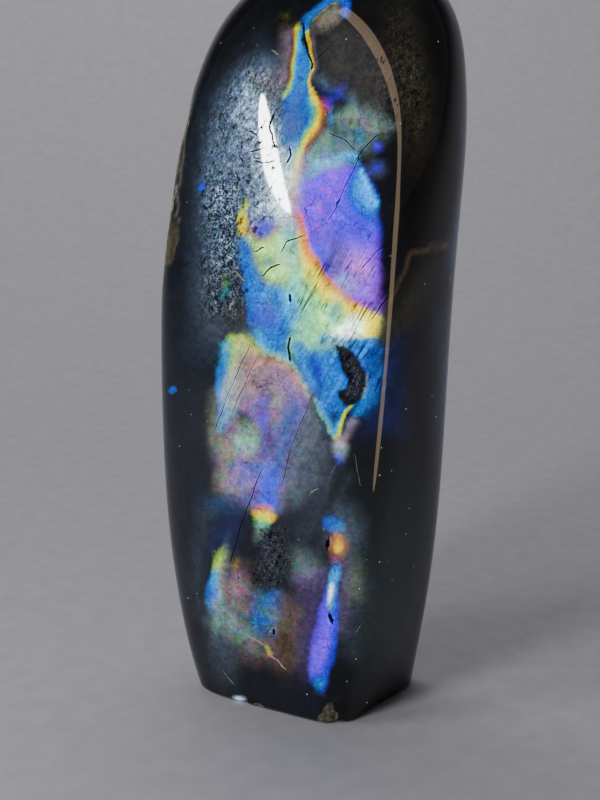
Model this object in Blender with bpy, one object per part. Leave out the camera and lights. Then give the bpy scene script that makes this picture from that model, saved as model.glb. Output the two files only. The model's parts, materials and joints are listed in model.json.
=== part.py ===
"""Labradorite freeform: one hand-ground and polished stone that stands on its sawn base.

Metres, +Z up. The broad polished face looks towards -Y. The origin is on the sawn base, in the middle
of the stone's footprint box. Run it in Blender's text editor, or with
blender --background --python part.py.
"""
import functools
import math
import random

import bmesh
import bpy
from mathutils import Vector

MM = 0.001

# Driving dimensions
HEIGHT = 140.5 * MM
SHOULDER = 100 * MM  # where the dome starts to close over the top
DOME_POWER = 3.0
BASE_CHAMFER = 0.6 * MM

# The stone's body at some heights, in millimetres: height, half width, half thickness, the middle of the
# section in x and y, and how hard the ridges between the ground faces are (2 gives an oval, 8 nearly
# sharp ridges).
BODY = (
    (0, 21.5, 15.6, 1.5, 1.5, 8.5),
    (7, 22.9, 16.9, 1.1, 1.2, 7.5),
    (16, 24.4, 17.9, 0.9, 1.0, 6.5),
    (32, 26.2, 19.0, 0.8, 0.8, 5.8),
    (58, 27.2, 19.5, 1.0, 0.7, 5.4),
    (80, 27.3, 19.3, 1.6, 0.8, 5.2),
    (95, 27.0, 18.9, 2.7, 1.1, 4.8),
    (109, 26.1, 18.2, 4.4, 1.6, 4.0),
    (122, 25.7, 17.8, 6.1, 2.2, 3.2),
    (140.5, 28.5, 17.8, 9.2, 3.0, 2.6),
)

# The ground faces: each one's compass angle and its reach from the section's middle, at the base and at
# the shoulder. The angle is 0 towards -Y and 90 towards +X, in a section that isn't flattened yet.
FACES = {
    "front": ((-38, 0.72), (-28, 0.70)),
    "right cheek": ((58, 0.81), (64, 0.86)),
    "right back": ((108, 0.97), (106, 0.99)),
    "back": ((154, 0.70), (156, 0.68)),
    "left back": ((-118, 0.95), (-112, 0.96)),
    "left cheek": ((-84, 0.96), (-78, 0.98)),
}

# Where the polish stops at a rough hollow: its depth and its floor's roughness in millimetres, and its
# run over the surface as compass angle, height and radius, the last two in millimetres.
HOLLOWS = {
    "crescent pit": (
        1.1, 0.15, ((10, 74.2, 0.9), (14, 72.3, 1.6), (16, 69.6, 2.2), (15, 67, 1.8), (12, 65, 0.9))
    ),
    "chipped base corner": (0.9, 0.15, ((13.5, 0, 1.9), (14, 5.6, 1.2))),
    "chip on the base's edge": (0.6, 0.1, ((-50, 0, 1.4),)),
    "rind on the left": (
        0.5, 0.25, ((-93, 113, 2.4), (-98, 107, 4.6), (-99, 98, 6.4), (-97, 90, 5.2), (-94, 85, 2.5))
    ),
    "hollow in the back": (
        1.0, 0.3, ((170, 66, 4.0), (156, 54, 7.0), (146, 41, 6.0), (150, 33, 3.5))
    ),
}

# The grid that carries the surface
SEGMENTS = 80
FRONT_BIAS = 0.46  # how far the segments crowd towards the front
DOME_RINGS = 9
RING_BANDS = (  # top of each band of rings and the step in it, in millimetres, from the base up
    (7, 1.6),
    (62, 3.4),
    (76, 1.1),
    (110, 3.4),
)
DOME_REACH = math.radians(50)  # how far up the dome the rings go before the cap's grid takes over

STONE_COLOUR = (0.035, 0.04, 0.05, 1.0)
STONE_ROUGHNESS = 0.12


def natural_spline(places, values):
    """A smooth curve through (place, value) pairs, as a function. Its ends have no bend."""
    count = len(places)
    widths = [places[i + 1] - places[i] for i in range(count - 1)]
    slopes = [(values[i + 1] - values[i]) / widths[i] for i in range(count - 1)]
    factor = [0.0] * count
    target = [0.0] * count
    for i in range(1, count - 1):
        pivot = 2 * (widths[i - 1] + widths[i]) - widths[i - 1] * factor[i - 1]
        factor[i] = widths[i] / pivot
        target[i] = (6 * (slopes[i] - slopes[i - 1]) - widths[i - 1] * target[i - 1]) / pivot
    bends = [0.0] * count
    for i in range(count - 2, 0, -1):
        bends[i] = target[i] - factor[i] * bends[i + 1]

    def curve(place):
        i = min(max(sum(place >= p for p in places) - 1, 0), count - 2)
        right = (place - places[i]) / widths[i]
        left = (places[i + 1] - place) / widths[i]
        bend = (left**3 - left) * bends[i] + (right**3 - right) * bends[i + 1]
        return left * values[i] + right * values[i + 1] + bend * widths[i] ** 2 / 6

    return curve


HEIGHTS = [row[0] * MM for row in BODY]
half_width, half_thickness, middle_x, middle_y = (
    natural_spline(HEIGHTS, [row[column] * MM for row in BODY]) for column in range(1, 5)
)
hardness = natural_spline(HEIGHTS, [row[5] for row in BODY])


def dome(height):
    """The share of its width that the stone still has at a height: 1 up to the shoulder, 0 at the top."""
    climb = max(0.0, (height - SHOULDER) / (HEIGHT - SHOULDER))
    return math.sqrt(max(0.0, 1 - climb**DOME_POWER))


def reach(angle, height):
    """Distance from the section's middle to its ground faces, melted together, in one direction."""
    share = min(1.0, height / SHOULDER)
    power = hardness(height)
    total = 0.0
    for (low_angle, low_reach), (high_angle, high_reach) in FACES.values():
        facing = math.radians(low_angle + share * (high_angle - low_angle))
        distance = low_reach + share * (high_reach - low_reach)
        total += max(0.0, math.cos(angle - facing) / distance) ** power
    return total ** (-1 / power)


@functools.lru_cache(maxsize=None)
def section_box(height):
    """Middle and half size, in x and y, of the section that the faces enclose at a height."""
    angles = [math.radians(degree) for degree in range(360)]
    xs = [math.sin(a) * reach(a, height) for a in angles]
    ys = [-math.cos(a) * reach(a, height) for a in angles]
    right, left, back, front = max(xs), min(xs), max(ys), min(ys)
    return (right + left) / 2, (back + front) / 2, (right - left) / 2, (back - front) / 2


def surface_point(angle, height, shrink=0.0):
    """The point of the polished surface in a compass direction at a height, taken in by shrink."""
    box_x, box_y, box_w, box_t = section_box(height)
    length = reach(angle, height)
    unit_x = (math.sin(angle) * length - box_x) / box_w
    unit_y = (-math.cos(angle) * length - box_y) / box_t
    closing = dome(height)
    wide = half_width(height) * closing - shrink
    thick = half_thickness(height) * closing - shrink
    return Vector((middle_x(height) + wide * unit_x, middle_y(height) + thick * unit_y, height))


def outside_by(x, y, height):
    """Over 1 where (x, y) is outside the section at a height, and under 1 where it is inside."""
    closing = dome(height)
    if closing <= 0:
        return math.inf
    height = round(height, 5)
    box_x, box_y, box_w, box_t = section_box(height)
    flat_x = (x - middle_x(height)) / (half_width(height) * closing) * box_w + box_x
    flat_y = (y - middle_y(height)) / (half_thickness(height) * closing) * box_t + box_y
    return math.hypot(flat_x, flat_y) / reach(math.atan2(flat_x, -flat_y), height)


def dome_height(x, y, low):
    """The height of the dome over (x, y), found by halving."""
    high = HEIGHT
    for _ in range(30):
        middle = (low + high) / 2
        if outside_by(x, y, middle) < 1:
            low = middle
        else:
            high = middle
    return (low + high) / 2


def segment_angles():
    """Compass angles of the grid's uprights, closer together towards the front."""
    even = [2 * math.pi * i / SEGMENTS for i in range(SEGMENTS)]
    return [a - FRONT_BIAS * math.sin(a) for a in even]


def ring_heights():
    """Heights of the rings above the chamfer, closer where the hollows need it."""
    heights = [BASE_CHAMFER]
    for top, step in RING_BANDS:
        low, high = heights[-1], top * MM
        count = round((high - low) / (step * MM))
        heights += [low + (high - low) * i / count for i in range(1, count + 1)]
    body_top = heights[-1]
    rise = HEIGHT - body_top
    heights += [body_top + rise * math.sin(DOME_REACH * i / DOME_RINGS) for i in range(1, DOME_RINGS + 1)]
    return heights


def grow_stone(mesh):
    """Grows the polished body: a ring on the sawn base is extruded up, ring by ring, and capped."""
    angles = segment_angles()
    ring = [mesh.verts.new(surface_point(a, 0.0, BASE_CHAMFER)) for a in angles]
    mesh.faces.new(ring[::-1])
    edges = [mesh.edges.get((ring[i], ring[(i + 1) % SEGMENTS])) for i in range(SEGMENTS)]
    for height in ring_heights():
        grown = bmesh.ops.extrude_edge_only(mesh, edges=edges)["geom"]
        raised = {}
        for vert in ring:
            raised[vert] = next(e.other_vert(vert) for e in vert.link_edges if e.other_vert(vert) in grown)
        ring = [raised[vert] for vert in ring]
        for vert, angle in zip(ring, angles):
            vert.co = surface_point(angle, height)
        edges = [mesh.edges.get((ring[i], ring[(i + 1) % SEGMENTS])) for i in range(SEGMENTS)]
    before = set(mesh.verts)
    eighth = SEGMENTS // 8
    bmesh.ops.grid_fill(mesh, edges=edges[eighth : 3 * eighth] + edges[5 * eighth : 7 * eighth])
    rim_height = ring[0].co.z
    for vert in mesh.verts:
        if vert not in before:
            vert.co.z = dome_height(vert.co.x, vert.co.y, rim_height - 1 * MM)


def sunk_share(point, run):
    """How far a point is into a hollow's run: 0 on its rim and 1 on its middle line."""
    deepest = 0.0
    for (start, start_radius), (end, end_radius) in zip(run, run[1:] or run):
        along = end - start
        share = min(1.0, max(0.0, (point - start).dot(along) / max(along.length_squared, 1e-12)))
        radius = start_radius + share * (end_radius - start_radius)
        deepest = max(deepest, 1 - (point - start - share * along).length / radius)
    return deepest


def sink_hollows(mesh):
    """Sinks the rough hollows: a steep wall down to a floor that steps and wavers."""
    chance = random.Random(7)
    for depth, roughness, places in HOLLOWS.values():
        run = [(surface_point(math.radians(a), h * MM), radius * MM) for a, h, radius in places]
        for vert in mesh.verts:
            share = sunk_share(vert.co, run)
            if share <= 0:
                continue
            wall = min(1.0, share * 2.6)
            drop = (depth * wall + roughness * wall * chance.uniform(-1, 1)) * MM
            axis = Vector((middle_x(vert.co.z), middle_y(vert.co.z), vert.co.z))
            vert.co += (axis - vert.co).normalized() * drop


def centre_on_footprint(mesh):
    """Moves the stone so that the origin is in the middle of its box, seen from above."""
    xs = [vert.co.x for vert in mesh.verts]
    ys = [vert.co.y for vert in mesh.verts]
    shift = Vector((-(max(xs) + min(xs)) / 2, -(max(ys) + min(ys)) / 2, 0))
    bmesh.ops.translate(mesh, verts=mesh.verts, vec=shift)


def stone_material():
    material = bpy.data.materials.new("polished_labradorite")
    material.use_nodes = True
    shader = material.node_tree.nodes["Principled BSDF"]
    shader.inputs["Base Color"].default_value = STONE_COLOUR
    shader.inputs["Roughness"].default_value = STONE_ROUGHNESS
    shader.inputs["Metallic"].default_value = 0.0
    return material


def build_stone():
    mesh = bmesh.new()
    grow_stone(mesh)
    sink_hollows(mesh)
    centre_on_footprint(mesh)
    bmesh.ops.recalc_face_normals(mesh, faces=mesh.faces)
    data = bpy.data.meshes.new("labradorite_stone")
    mesh.to_mesh(data)
    mesh.free()
    data.materials.append(stone_material())
    data.shade_smooth()
    data.set_sharp_from_angle(angle=math.radians(40))
    stone = bpy.data.objects.new("labradorite_stone", data)
    bpy.context.scene.collection.objects.link(stone)


def main():
    for old in list(bpy.data.objects):
        bpy.data.objects.remove(old)
    build_stone()


main()
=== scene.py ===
"""Labradorite freeform: a hand-polished standing stone with its colour play, on a pale studio floor."""
import json
import math

import bpy
import numpy as np
from mathutils import Matrix, Vector, noise

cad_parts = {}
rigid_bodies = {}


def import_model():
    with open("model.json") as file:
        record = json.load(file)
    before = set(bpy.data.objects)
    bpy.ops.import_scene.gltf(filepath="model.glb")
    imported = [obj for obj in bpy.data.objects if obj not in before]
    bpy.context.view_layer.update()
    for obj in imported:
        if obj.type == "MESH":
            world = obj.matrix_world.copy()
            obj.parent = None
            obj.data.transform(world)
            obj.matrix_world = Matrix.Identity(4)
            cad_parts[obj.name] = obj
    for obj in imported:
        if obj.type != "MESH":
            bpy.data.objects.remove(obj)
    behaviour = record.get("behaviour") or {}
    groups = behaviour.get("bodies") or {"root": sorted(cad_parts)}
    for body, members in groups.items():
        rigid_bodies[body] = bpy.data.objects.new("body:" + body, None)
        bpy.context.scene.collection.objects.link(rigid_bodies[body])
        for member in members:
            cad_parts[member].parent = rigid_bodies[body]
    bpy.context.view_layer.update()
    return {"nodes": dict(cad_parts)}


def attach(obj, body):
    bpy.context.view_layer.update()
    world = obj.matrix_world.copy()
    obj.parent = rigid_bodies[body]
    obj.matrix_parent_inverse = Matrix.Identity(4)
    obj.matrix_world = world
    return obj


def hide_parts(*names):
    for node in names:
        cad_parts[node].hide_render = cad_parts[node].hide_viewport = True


bl_info = {
    "name": "Labradorite Freeform",
    "version": (1, 0, 0),
    "blender": (4, 5, 0),
    "location": "3D View > Sidebar > Labradorite",
    "description": "Dresses a standing labradorite stone: polished faces, flashes of colour, rough rind",
    "category": "Object",
}

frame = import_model()
NODE = "labradorite_stone"
MM = 0.001

# The camera looks along +Y and a little down. Its picture is 600 wide and 800 high.
PICTURE_WIDTH = 600
PICTURE_HEIGHT = 800
SENSOR_WIDTH = 36.0

# The warm tube that the ridge mirrors, in millimetres: x, y, z and radius
WARM_TUBE = (
    (-95, -150, 378, 14),
    (-56, -204, 349, 17),
    (-5, -262, 300, 19),
    (60, -286, 235, 17),
    (112, -290, 188, 13),
    (142, -287, 142, 12),
    (165, -277, 105, 14),
    (207, -246, 62, 15),
    (220, -200, 32, 15),
    (209, -163, 19, 15),
    (170, -127, 16, 16),
    (121, -92, 13, 15),
    (98, -80, 10, 8),
)

# The flashes and the sheen are painted glow: the stone gives them off whatever the lamps do.
# The light that a full flash gives off. Colours below are shares of it.
GLOW = 2.5

# The flash colours in the order in which the lamella spacing gives them, round a circle: each one's turn
# round that circle and its linear colour
FLASH_CIRCLE = {
    "azure": (0.00, (0.000, 0.078, 0.36)),
    "sky": (0.07, (0.000, 0.130, 0.44)),
    "cyan": (0.13, (0.005, 0.230, 0.54)),
    "mint": (0.20, (0.100, 0.420, 0.26)),
    "green": (0.26, (0.190, 0.560, 0.08)),
    "lime": (0.33, (0.420, 0.560, 0.01)),
    "yellow": (0.40, (0.680, 0.500, 0.00)),
    "gold": (0.46, (0.500, 0.260, 0.00)),
    "orange": (0.52, (0.480, 0.130, 0.01)),
    "pink": (0.59, (0.520, 0.050, 0.16)),
    "magenta": (0.66, (0.400, 0.030, 0.60)),
    "violet": (0.74, (0.105, 0.010, 0.70)),
    "iris": (0.81, (0.034, 0.010, 0.62)),
    "indigo": (0.90, (0.000, 0.012, 0.44)),
    "cobalt": (0.96, (0.000, 0.042, 0.38)),
}

# Colours in the stone that aren't flashes, as the linear light that comes from them
VEIL_COLOURS = {
    "silver": (0.150, 0.235, 0.370),
    "bright silver": (0.340, 0.500, 0.740),
    "slate": (0.095, 0.125, 0.180),
    "steel": (0.002, 0.002, 0.005),
    "deep blue": (0.006, 0.009, 0.018),
    "deep teal": (0.004, 0.012, 0.014),
    "smoke": (0.040, 0.039, 0.037),
    "sage": (0.210, 0.340, 0.320),
    "frost": (0.600, 0.900, 0.800),
    "olive": (0.200, 0.220, 0.120),
    "mauve": (0.400, 0.280, 0.380),
    "rose": (0.480, 0.300, 0.300),
    "dusk": (0.300, 0.220, 0.520),
    "sand": (0.260, 0.220, 0.180),
    "umber": (0.120, 0.080, 0.090),
    "amber": (0.150, 0.100, 0.040),
    "rust": (0.065, 0.043, 0.023),
    "lens": (0.095, 0.080, 0.030),
    "plum": (0.050, 0.030, 0.110),
    "teal": (0.045, 0.150, 0.340),
    "navy": (0.004, 0.010, 0.075),
    "moss": (0.040, 0.036, 0.020),
    "white": (4.000, 5.000, 4.500),
    "milk": (0.700, 1.050, 1.400),
    "sea": (0.170, 0.850, 0.900),
    "jade": (0.230, 1.000, 0.720),
    "apple": (0.720, 2.000, 0.450),
    "cream": (1.050, 2.000, 0.420),
    "rose tan": (0.950, 0.470, 0.520),
    "peach": (1.600, 0.620, 0.100),
    "lilac": (0.560, 0.130, 1.700),
    "pearl": (1.300, 0.420, 1.600),
    "heather": (0.190, 0.160, 0.620),
    "heath": (0.300, 0.220, 0.340),
    "lilac mist": (0.300, 0.190, 0.620),
    "blue mist": (0.035, 0.070, 0.520),
    "periwinkle": (0.050, 0.090, 1.100),
    "moss mist": (0.300, 0.380, 0.210),
    "dark mist": (0.050, 0.060, 0.090),
    "mist": (0.120, 0.180, 0.390),
    "ink": (0.003, 0.004, 0.010),
    "night": (0.000, 0.000, 0.000),
}

# Past this blur, in picture pixels, a stroke's edge is softened further, by this factor
CRISP_BLUR = 3.0
SOFTENING = 1.4
# The strokes fade where the skin turns away: how squarely it faces the camera, from no stroke to a full one
FACING = (0.02, 0.25)
# How the strokes waver: waves per millimetre, and reach in picture pixels. All but the front's waver more.
WAVERS = ((0.3, 3.0), (0.7, 1.0))
SIDE_WAVER = (0.1, 24.0)
# What that noise starts from, so that each run gives the same stone
WAVER_SEED = 5
# The share of the strokes' waver that cracks and seams have
LINE_WAVER = 0.5
# How the edges of the rough places waver, and where they start and are full, as shares of their radius
ROUGH_WAVER = (0.45, 0.45)
ROUGH_EDGE = (1.25, 0.75)
# How many balls stand for the run from one ball of a rough place to the next
ROUGH_BALLS = 6
# Places lower than this are the sawn base, in metres
SAWN_HEIGHT = 0.02 * MM
# A distance that no line reaches, and the least that counts as nearer, in picture pixels
FAR = 99.0
LEAST = 0.001
# How far from the stone's middle rays start that look for its skin, in metres
OUTSIDE = 0.2

# How far the twin planes lean to the right of upright, in degrees
STRIA_LEAN = 28
# How the twin planes and the flakes on them are drawn out: factors along the stone's own axes, once turned
STRIA_STRETCH = (1.0, 0.3, 0.05)
FLAKE_STRETCH = (1.0, 0.5, 0.42)
# Where in their noise the second planes lie
SECOND_PLANES = 0.41
# Cells per millimetre of the mosaic, of the net of hair cracks and of the bright specks
MOSAIC_CELLS = 0.7
CRACK_CELLS = 0.24
SPECK_CELLS = 0.55
# How far the hair cracks bend, in millimetres
CRACK_BEND = (2.4, 2.4, 2.4)

# The noises: waves per millimetre, detail and roughness. The floor's is in waves per metre.
NOISES = {
    "grain": (2.2, 4.0, 0.65),
    "mottle": (0.9, 5.0, 0.65),
    "clouds": (0.4, 3.0, 0.6),
    "speckle": (2.3, 3.0, 0.8),
    "hues": (0.5, 4.0, 0.6),
    "twin planes": (0.55, 3.0, 0.6),
    "breaks in the planes": (0.22, 2.0, 0.5),
    "flakes": (1.5, 4.0, 0.6),
    "bends of the hair cracks": (0.5, 3.0, 0.5),
    "stretches of hair cracks": (0.16, 2.0, 0.5),
    "floor specks": (220.0, 4.0, 0.5),
}

# How a value becomes light or a mask: where it starts and ends, and what it turns into there if not 0 and 1
RANGES = {
    "pure hue": (0.0, 0.7),
    "clouds in the flash": (0.3, 0.7, 0.82, 1.15),
    "grain in the flash": (0.28, 0.72, 0.55, 1.45),
    "fading flash": (-0.05, 0.5),
    "salt": (0.42, 0.68, 0.02, 3.8),
    "patches of salt": (0.34, 0.62, 0.35, 1.25),
    "peppered": (0.0, 0.4),
    "chips": (0.56, 0.62),
    "frosting": (0.46, 0.36),
    "dull chips": (0.57, 0.62),
    "mottled sheen": (0.28, 0.72, 0.55, 1.45),
    "speckled sheen": (0.30, 0.70, 0.72, 1.28),
    "pale rind": (0.40, 0.66),
    "clouds in the body": (0.35, 0.7),
    "broken skin": (0.35, 0.6),
    "twin planes": (0.030, 0.006),
    "second planes": (0.018, 0.003),
    "breaks in the planes": (0.42, 0.6),
    "hair cracks": (0.020, 0.004),
    "stretches of hair cracks": (0.46, 0.60),
    "specks": (0.11, 0.03),
    "chosen specks": (0.80, 1.0),
    "near a line": (5.0, 3.0),
    "line": (1.3, 0.7),
    "lip's inner side": (1.2, 1.7),
    "lip's outer side": (3.0, 2.0),
    "gaps in the seams": (0.35, 0.6, 0.2, 1.0),
    "floor specks": (0.3, 0.7, 0.96, 1.04),
}

# How far each texture turns the flash's colour, in turns round the circle
HUE_DRIFTS = {"mottle": 0.16, "grain": 0.07, "cells": 0.02}
BANDED_HUE = 0.22
MOSAIC_HUE = 0.2
# How far textures push the fading flash, the edge of the rough skin, and the sides of cracks and seams
LIGHT_DRIFT = 0.7
ROUGH_DRIFT = 0.8
RAGGED_SIDE = 1.6

# What each effect adds to the light, as a share of it. Below zero it takes light away.
GAINS = {
    "banding in the flash": 1.5,
    "banding in the sheen": 1.2,
    "frosting": 1.1,
    "twin planes": -0.85,
    "hair cracks": -0.6,
    "chips": -0.85,
    "painted highlights on the cracks' lips": 0.5,
}
# How far hues stray in the sheen, and how much further in the mosaic. No channel falls under the least.
HUE_SPREAD = 0.8
MOSAIC_SPREAD = 1.6
LEAST_CHANNEL = (0.1, 0.1, 0.1)

# The least light that a flash's purity is measured against
LEAST_LIGHT = 0.01
# Linear colours: where flashes meet and cancel out, of the pale seams, the lone specks, the rind's pale parts
# and the body's lighter clouds
MIXED_FLASH = (0.24, 0.20, 0.24, 1.0)
SEAM_COLOUR = (0.16, 0.15, 0.12, 1.0)
SEAM_SHARE = 0.7
SPECK_LIGHT = (0.20, 0.21, 0.22)
PALE_RIND = (0.26, 0.245, 0.19, 1.0)
BODY_CLOUDS = (0.003, 0.004, 0.006, 1.0)

# How the feldspar under the polish and the polish itself shine
BODY_ROUGHNESS = 0.55
BODY_SPECULAR = 0.05
FELDSPAR_IOR = 1.56
POLISH_IOR = 1.42
# The relief of the broken skin: its strength, and its height in metres
RELIEF_STRENGTH = 0.9
RELIEF_HEIGHT = 0.9 * MM

# The solid's points closer than this are one, and its triangles are joined where they meet this flat
MERGE_REACH = 0.01 * MM
QUAD_ANGLE = math.radians(60)
# How the sawn base's edges are found, in metres, and how hard they are kept
BASE_TOP = 0.7 * MM
LEVEL = 0.1 * MM
BASE_CREASE = 0.9
# How often the skin is subdivided, and the angle from which its edges look sharp
SKIN_LEVELS = 2
SHARP_ANGLE = math.radians(40)

# The floor's width and how far its middle lies in front of the stone, the wall's height, and the bend between
# the two, in metres
FLOOR_WIDTH = 4.0
FLOOR_FORWARD = 1.2
WALL_HEIGHT = 2.5
SWEEP = 0.6
SWEEP_STEPS = 24
# How near its back edge and its level a place of the floor counts as being there
FLOOR_MARGIN = 0.1
FLOOR_ROUGHNESS = 0.75
# Lamps that light the room: where each stands, what it points at, and its width and height, in metres
WALL_LAMP = ((-0.1, 0.32, 0.85), (0, 0.72, 0.25), 0.9, 0.3)
KEY_LAMP = ((-0.7, -0.25, 0.70), (0, 0, 0.05), 0.2, 0.2)
# The narrow lamp that the polish mirrors: its two ends, what it points at, its width and its colour
WINDOW_LAMP = ((-0.231, -0.187, 0.216), (-0.198, -0.243, 0.114), (0, 0, 0.1), 0.015)
WINDOW_COLOUR = (0.95, 0.98, 1.0)
# The warm tube's light, and the light from all round
WARM_COLOUR = (1.0, 0.72, 0.46, 1.0)
ROOM_COLOUR = (0.80, 0.84, 0.90, 1.0)
# What is nearer to the camera than this isn't drawn, in metres
CLIP_START = 0.01


class StoneSettings(bpy.types.PropertyGroup):
    body_colour: bpy.props.FloatVectorProperty(
        name="Body colour",
        description="Colour of the feldspar between the flashes",
        subtype="COLOR",
        size=4,
        min=0.0,
        max=1.0,
        default=(0.001, 0.0012, 0.002, 1.0),
    )
    rind_colour: bpy.props.FloatVectorProperty(
        name="Rind colour",
        description="Colour of the raw rind and of broken places",
        subtype="COLOR",
        size=4,
        min=0.0,
        max=1.0,
        default=(0.080, 0.071, 0.048, 1.0),
    )
    flash: bpy.props.FloatProperty(
        name="Flash",
        description="Brightness of the colour play",
        default=1.0,
        min=0.0,
        max=3.0,
        subtype="FACTOR",
    )
    polish: bpy.props.FloatProperty(
        name="Polish",
        description="Roughness of the polished skin, 0 for a mirror",
        default=0.03,
        min=0.0,
        max=1.0,
        subtype="FACTOR",
    )


class StageSettings(bpy.types.PropertyGroup):
    floor_colour: bpy.props.FloatVectorProperty(
        name="Floor colour",
        description="Colour of the floor and of the wall behind it",
        subtype="COLOR",
        size=4,
        min=0.0,
        max=1.0,
        default=(0.36, 0.35, 0.375, 1.0),
    )
    key_light: bpy.props.FloatProperty(
        name="Key light",
        description="Power of the soft light on the left",
        default=2.0,
        min=0.0,
        unit="POWER",
    )
    wall_light: bpy.props.FloatProperty(
        name="Wall light",
        description="Power of the broad light on the wall behind the stone",
        default=5.3,
        min=0.0,
        unit="POWER",
    )
    window_light: bpy.props.FloatProperty(
        name="Window light",
        description="Power of the narrow lamp that gives the white streak",
        default=0.8,
        min=0.0,
        unit="POWER",
    )
    tube_light: bpy.props.FloatProperty(
        name="Tube light",
        description="Strength of the warm tube that gives the tan streak",
        default=4.6,
        min=0.0,
    )
    room_light: bpy.props.FloatProperty(
        name="Room light",
        description="Strength of the light from all round",
        default=0.13,
        min=0.0,
    )
    lens: bpy.props.FloatProperty(
        name="Lens",
        description="Focal length of the camera in millimetres",
        default=54.0,
        min=1.0,
        unit="CAMERA",
    )
    camera_place: bpy.props.FloatVectorProperty(
        name="Camera place",
        description="Where the camera stands",
        default=(-1.85 * MM, -221 * MM, 117 * MM),
        subtype="TRANSLATION",
        unit="LENGTH",
    )
    camera_tilt: bpy.props.FloatProperty(
        name="Camera tilt",
        description="How far the camera looks down",
        default=math.radians(14.4),
        subtype="ANGLE",
    )


def stone_settings():
    return bpy.context.scene.labradorite_stone


def stage_settings():
    return bpy.context.scene.labradorite_stage


# Painting the colour play. The strokes are laid on in picture places, one over the other, and end up as
# attributes of the mesh: every point of the skin keeps the colours that the stone has there.


def smooth_share(value, low, high):
    share = np.clip((value - low) / (high - low), 0.0, 1.0)
    return share * share * (3.0 - 2.0 * share)


def run_distance(across, down, start, stop):
    """How far each picture place is from the straight run between two places."""
    (x0, y0), (x1, y1) = start, stop
    run_x, run_y = x1 - x0, y1 - y0
    along = ((across - x0) * run_x + (down - y0) * run_y) / (run_x ** 2 + run_y ** 2)
    along = np.clip(along, 0.0, 1.0)
    return np.hypot(across - x0 - along * run_x, down - y0 - along * run_y)


class Stroke:
    """A shape in the picture with a colour, a strength and how far its edge blurs, in pixels."""

    def __init__(self, colour, strength, blur, places, width=0.0, lean=0.0, closed=False):
        self.colour = colour
        self.strength = strength
        self.blur = blur
        self.places = places
        self.width = width
        self.lean = lean
        self.closed = closed

    def depth(self, across, down):
        """How far inside the stroke each picture place is, in pixels, below zero outside."""
        if isinstance(self.width, tuple):
            return self.oval_depth(across, down)
        places = self.places + self.places[:1] if self.closed else self.places
        nearest = np.full(across.shape, np.inf)
        inside = np.zeros(across.shape, bool)
        for start, stop in zip(places, places[1:]):
            nearest = np.minimum(nearest, run_distance(across, down, start, stop))
            (x0, y0), (x1, y1) = start, stop
            if self.closed and y1 != y0:
                crosses = (y0 > down) != (y1 > down)
                inside ^= crosses & (across < x0 + (down - y0) / (y1 - y0) * (x1 - x0))
        if self.closed:
            return np.where(inside, nearest, -nearest)
        return self.width - nearest

    def oval_depth(self, across, down):
        half_long, half_wide = self.width
        x, y = self.places[0]
        lean = math.radians(self.lean)
        along = (across - x) * math.sin(lean) - (down - y) * math.cos(lean)
        side = (across - x) * math.cos(lean) + (down - y) * math.sin(lean)
        return (1.0 - np.hypot(along / half_long, side / half_wide)) * min(half_long, half_wide)

    def cover(self, across, down):
        """How much of each place the stroke covers, from 0 to 1."""
        soft = self.blur * (SOFTENING if self.blur > CRISP_BLUR else 1.0)
        return smooth_share(self.depth(across, down), -soft, soft)


def patch(colour, strength, blur, *places):
    """A filled outline."""
    return Stroke(colour, strength, blur, places, closed=True)


def ribbon(colour, strength, blur, width, *places):
    """A line that is twice width wide."""
    return Stroke(colour, strength, blur, places, width=width)


def spot(colour, strength, blur, x, y, half_long, half_wide, lean=0):
    """An oval. It leans to the right of upright, in degrees."""
    return Stroke(colour, strength, blur, ((x, y),), width=(half_long, half_wide), lean=lean)


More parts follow.
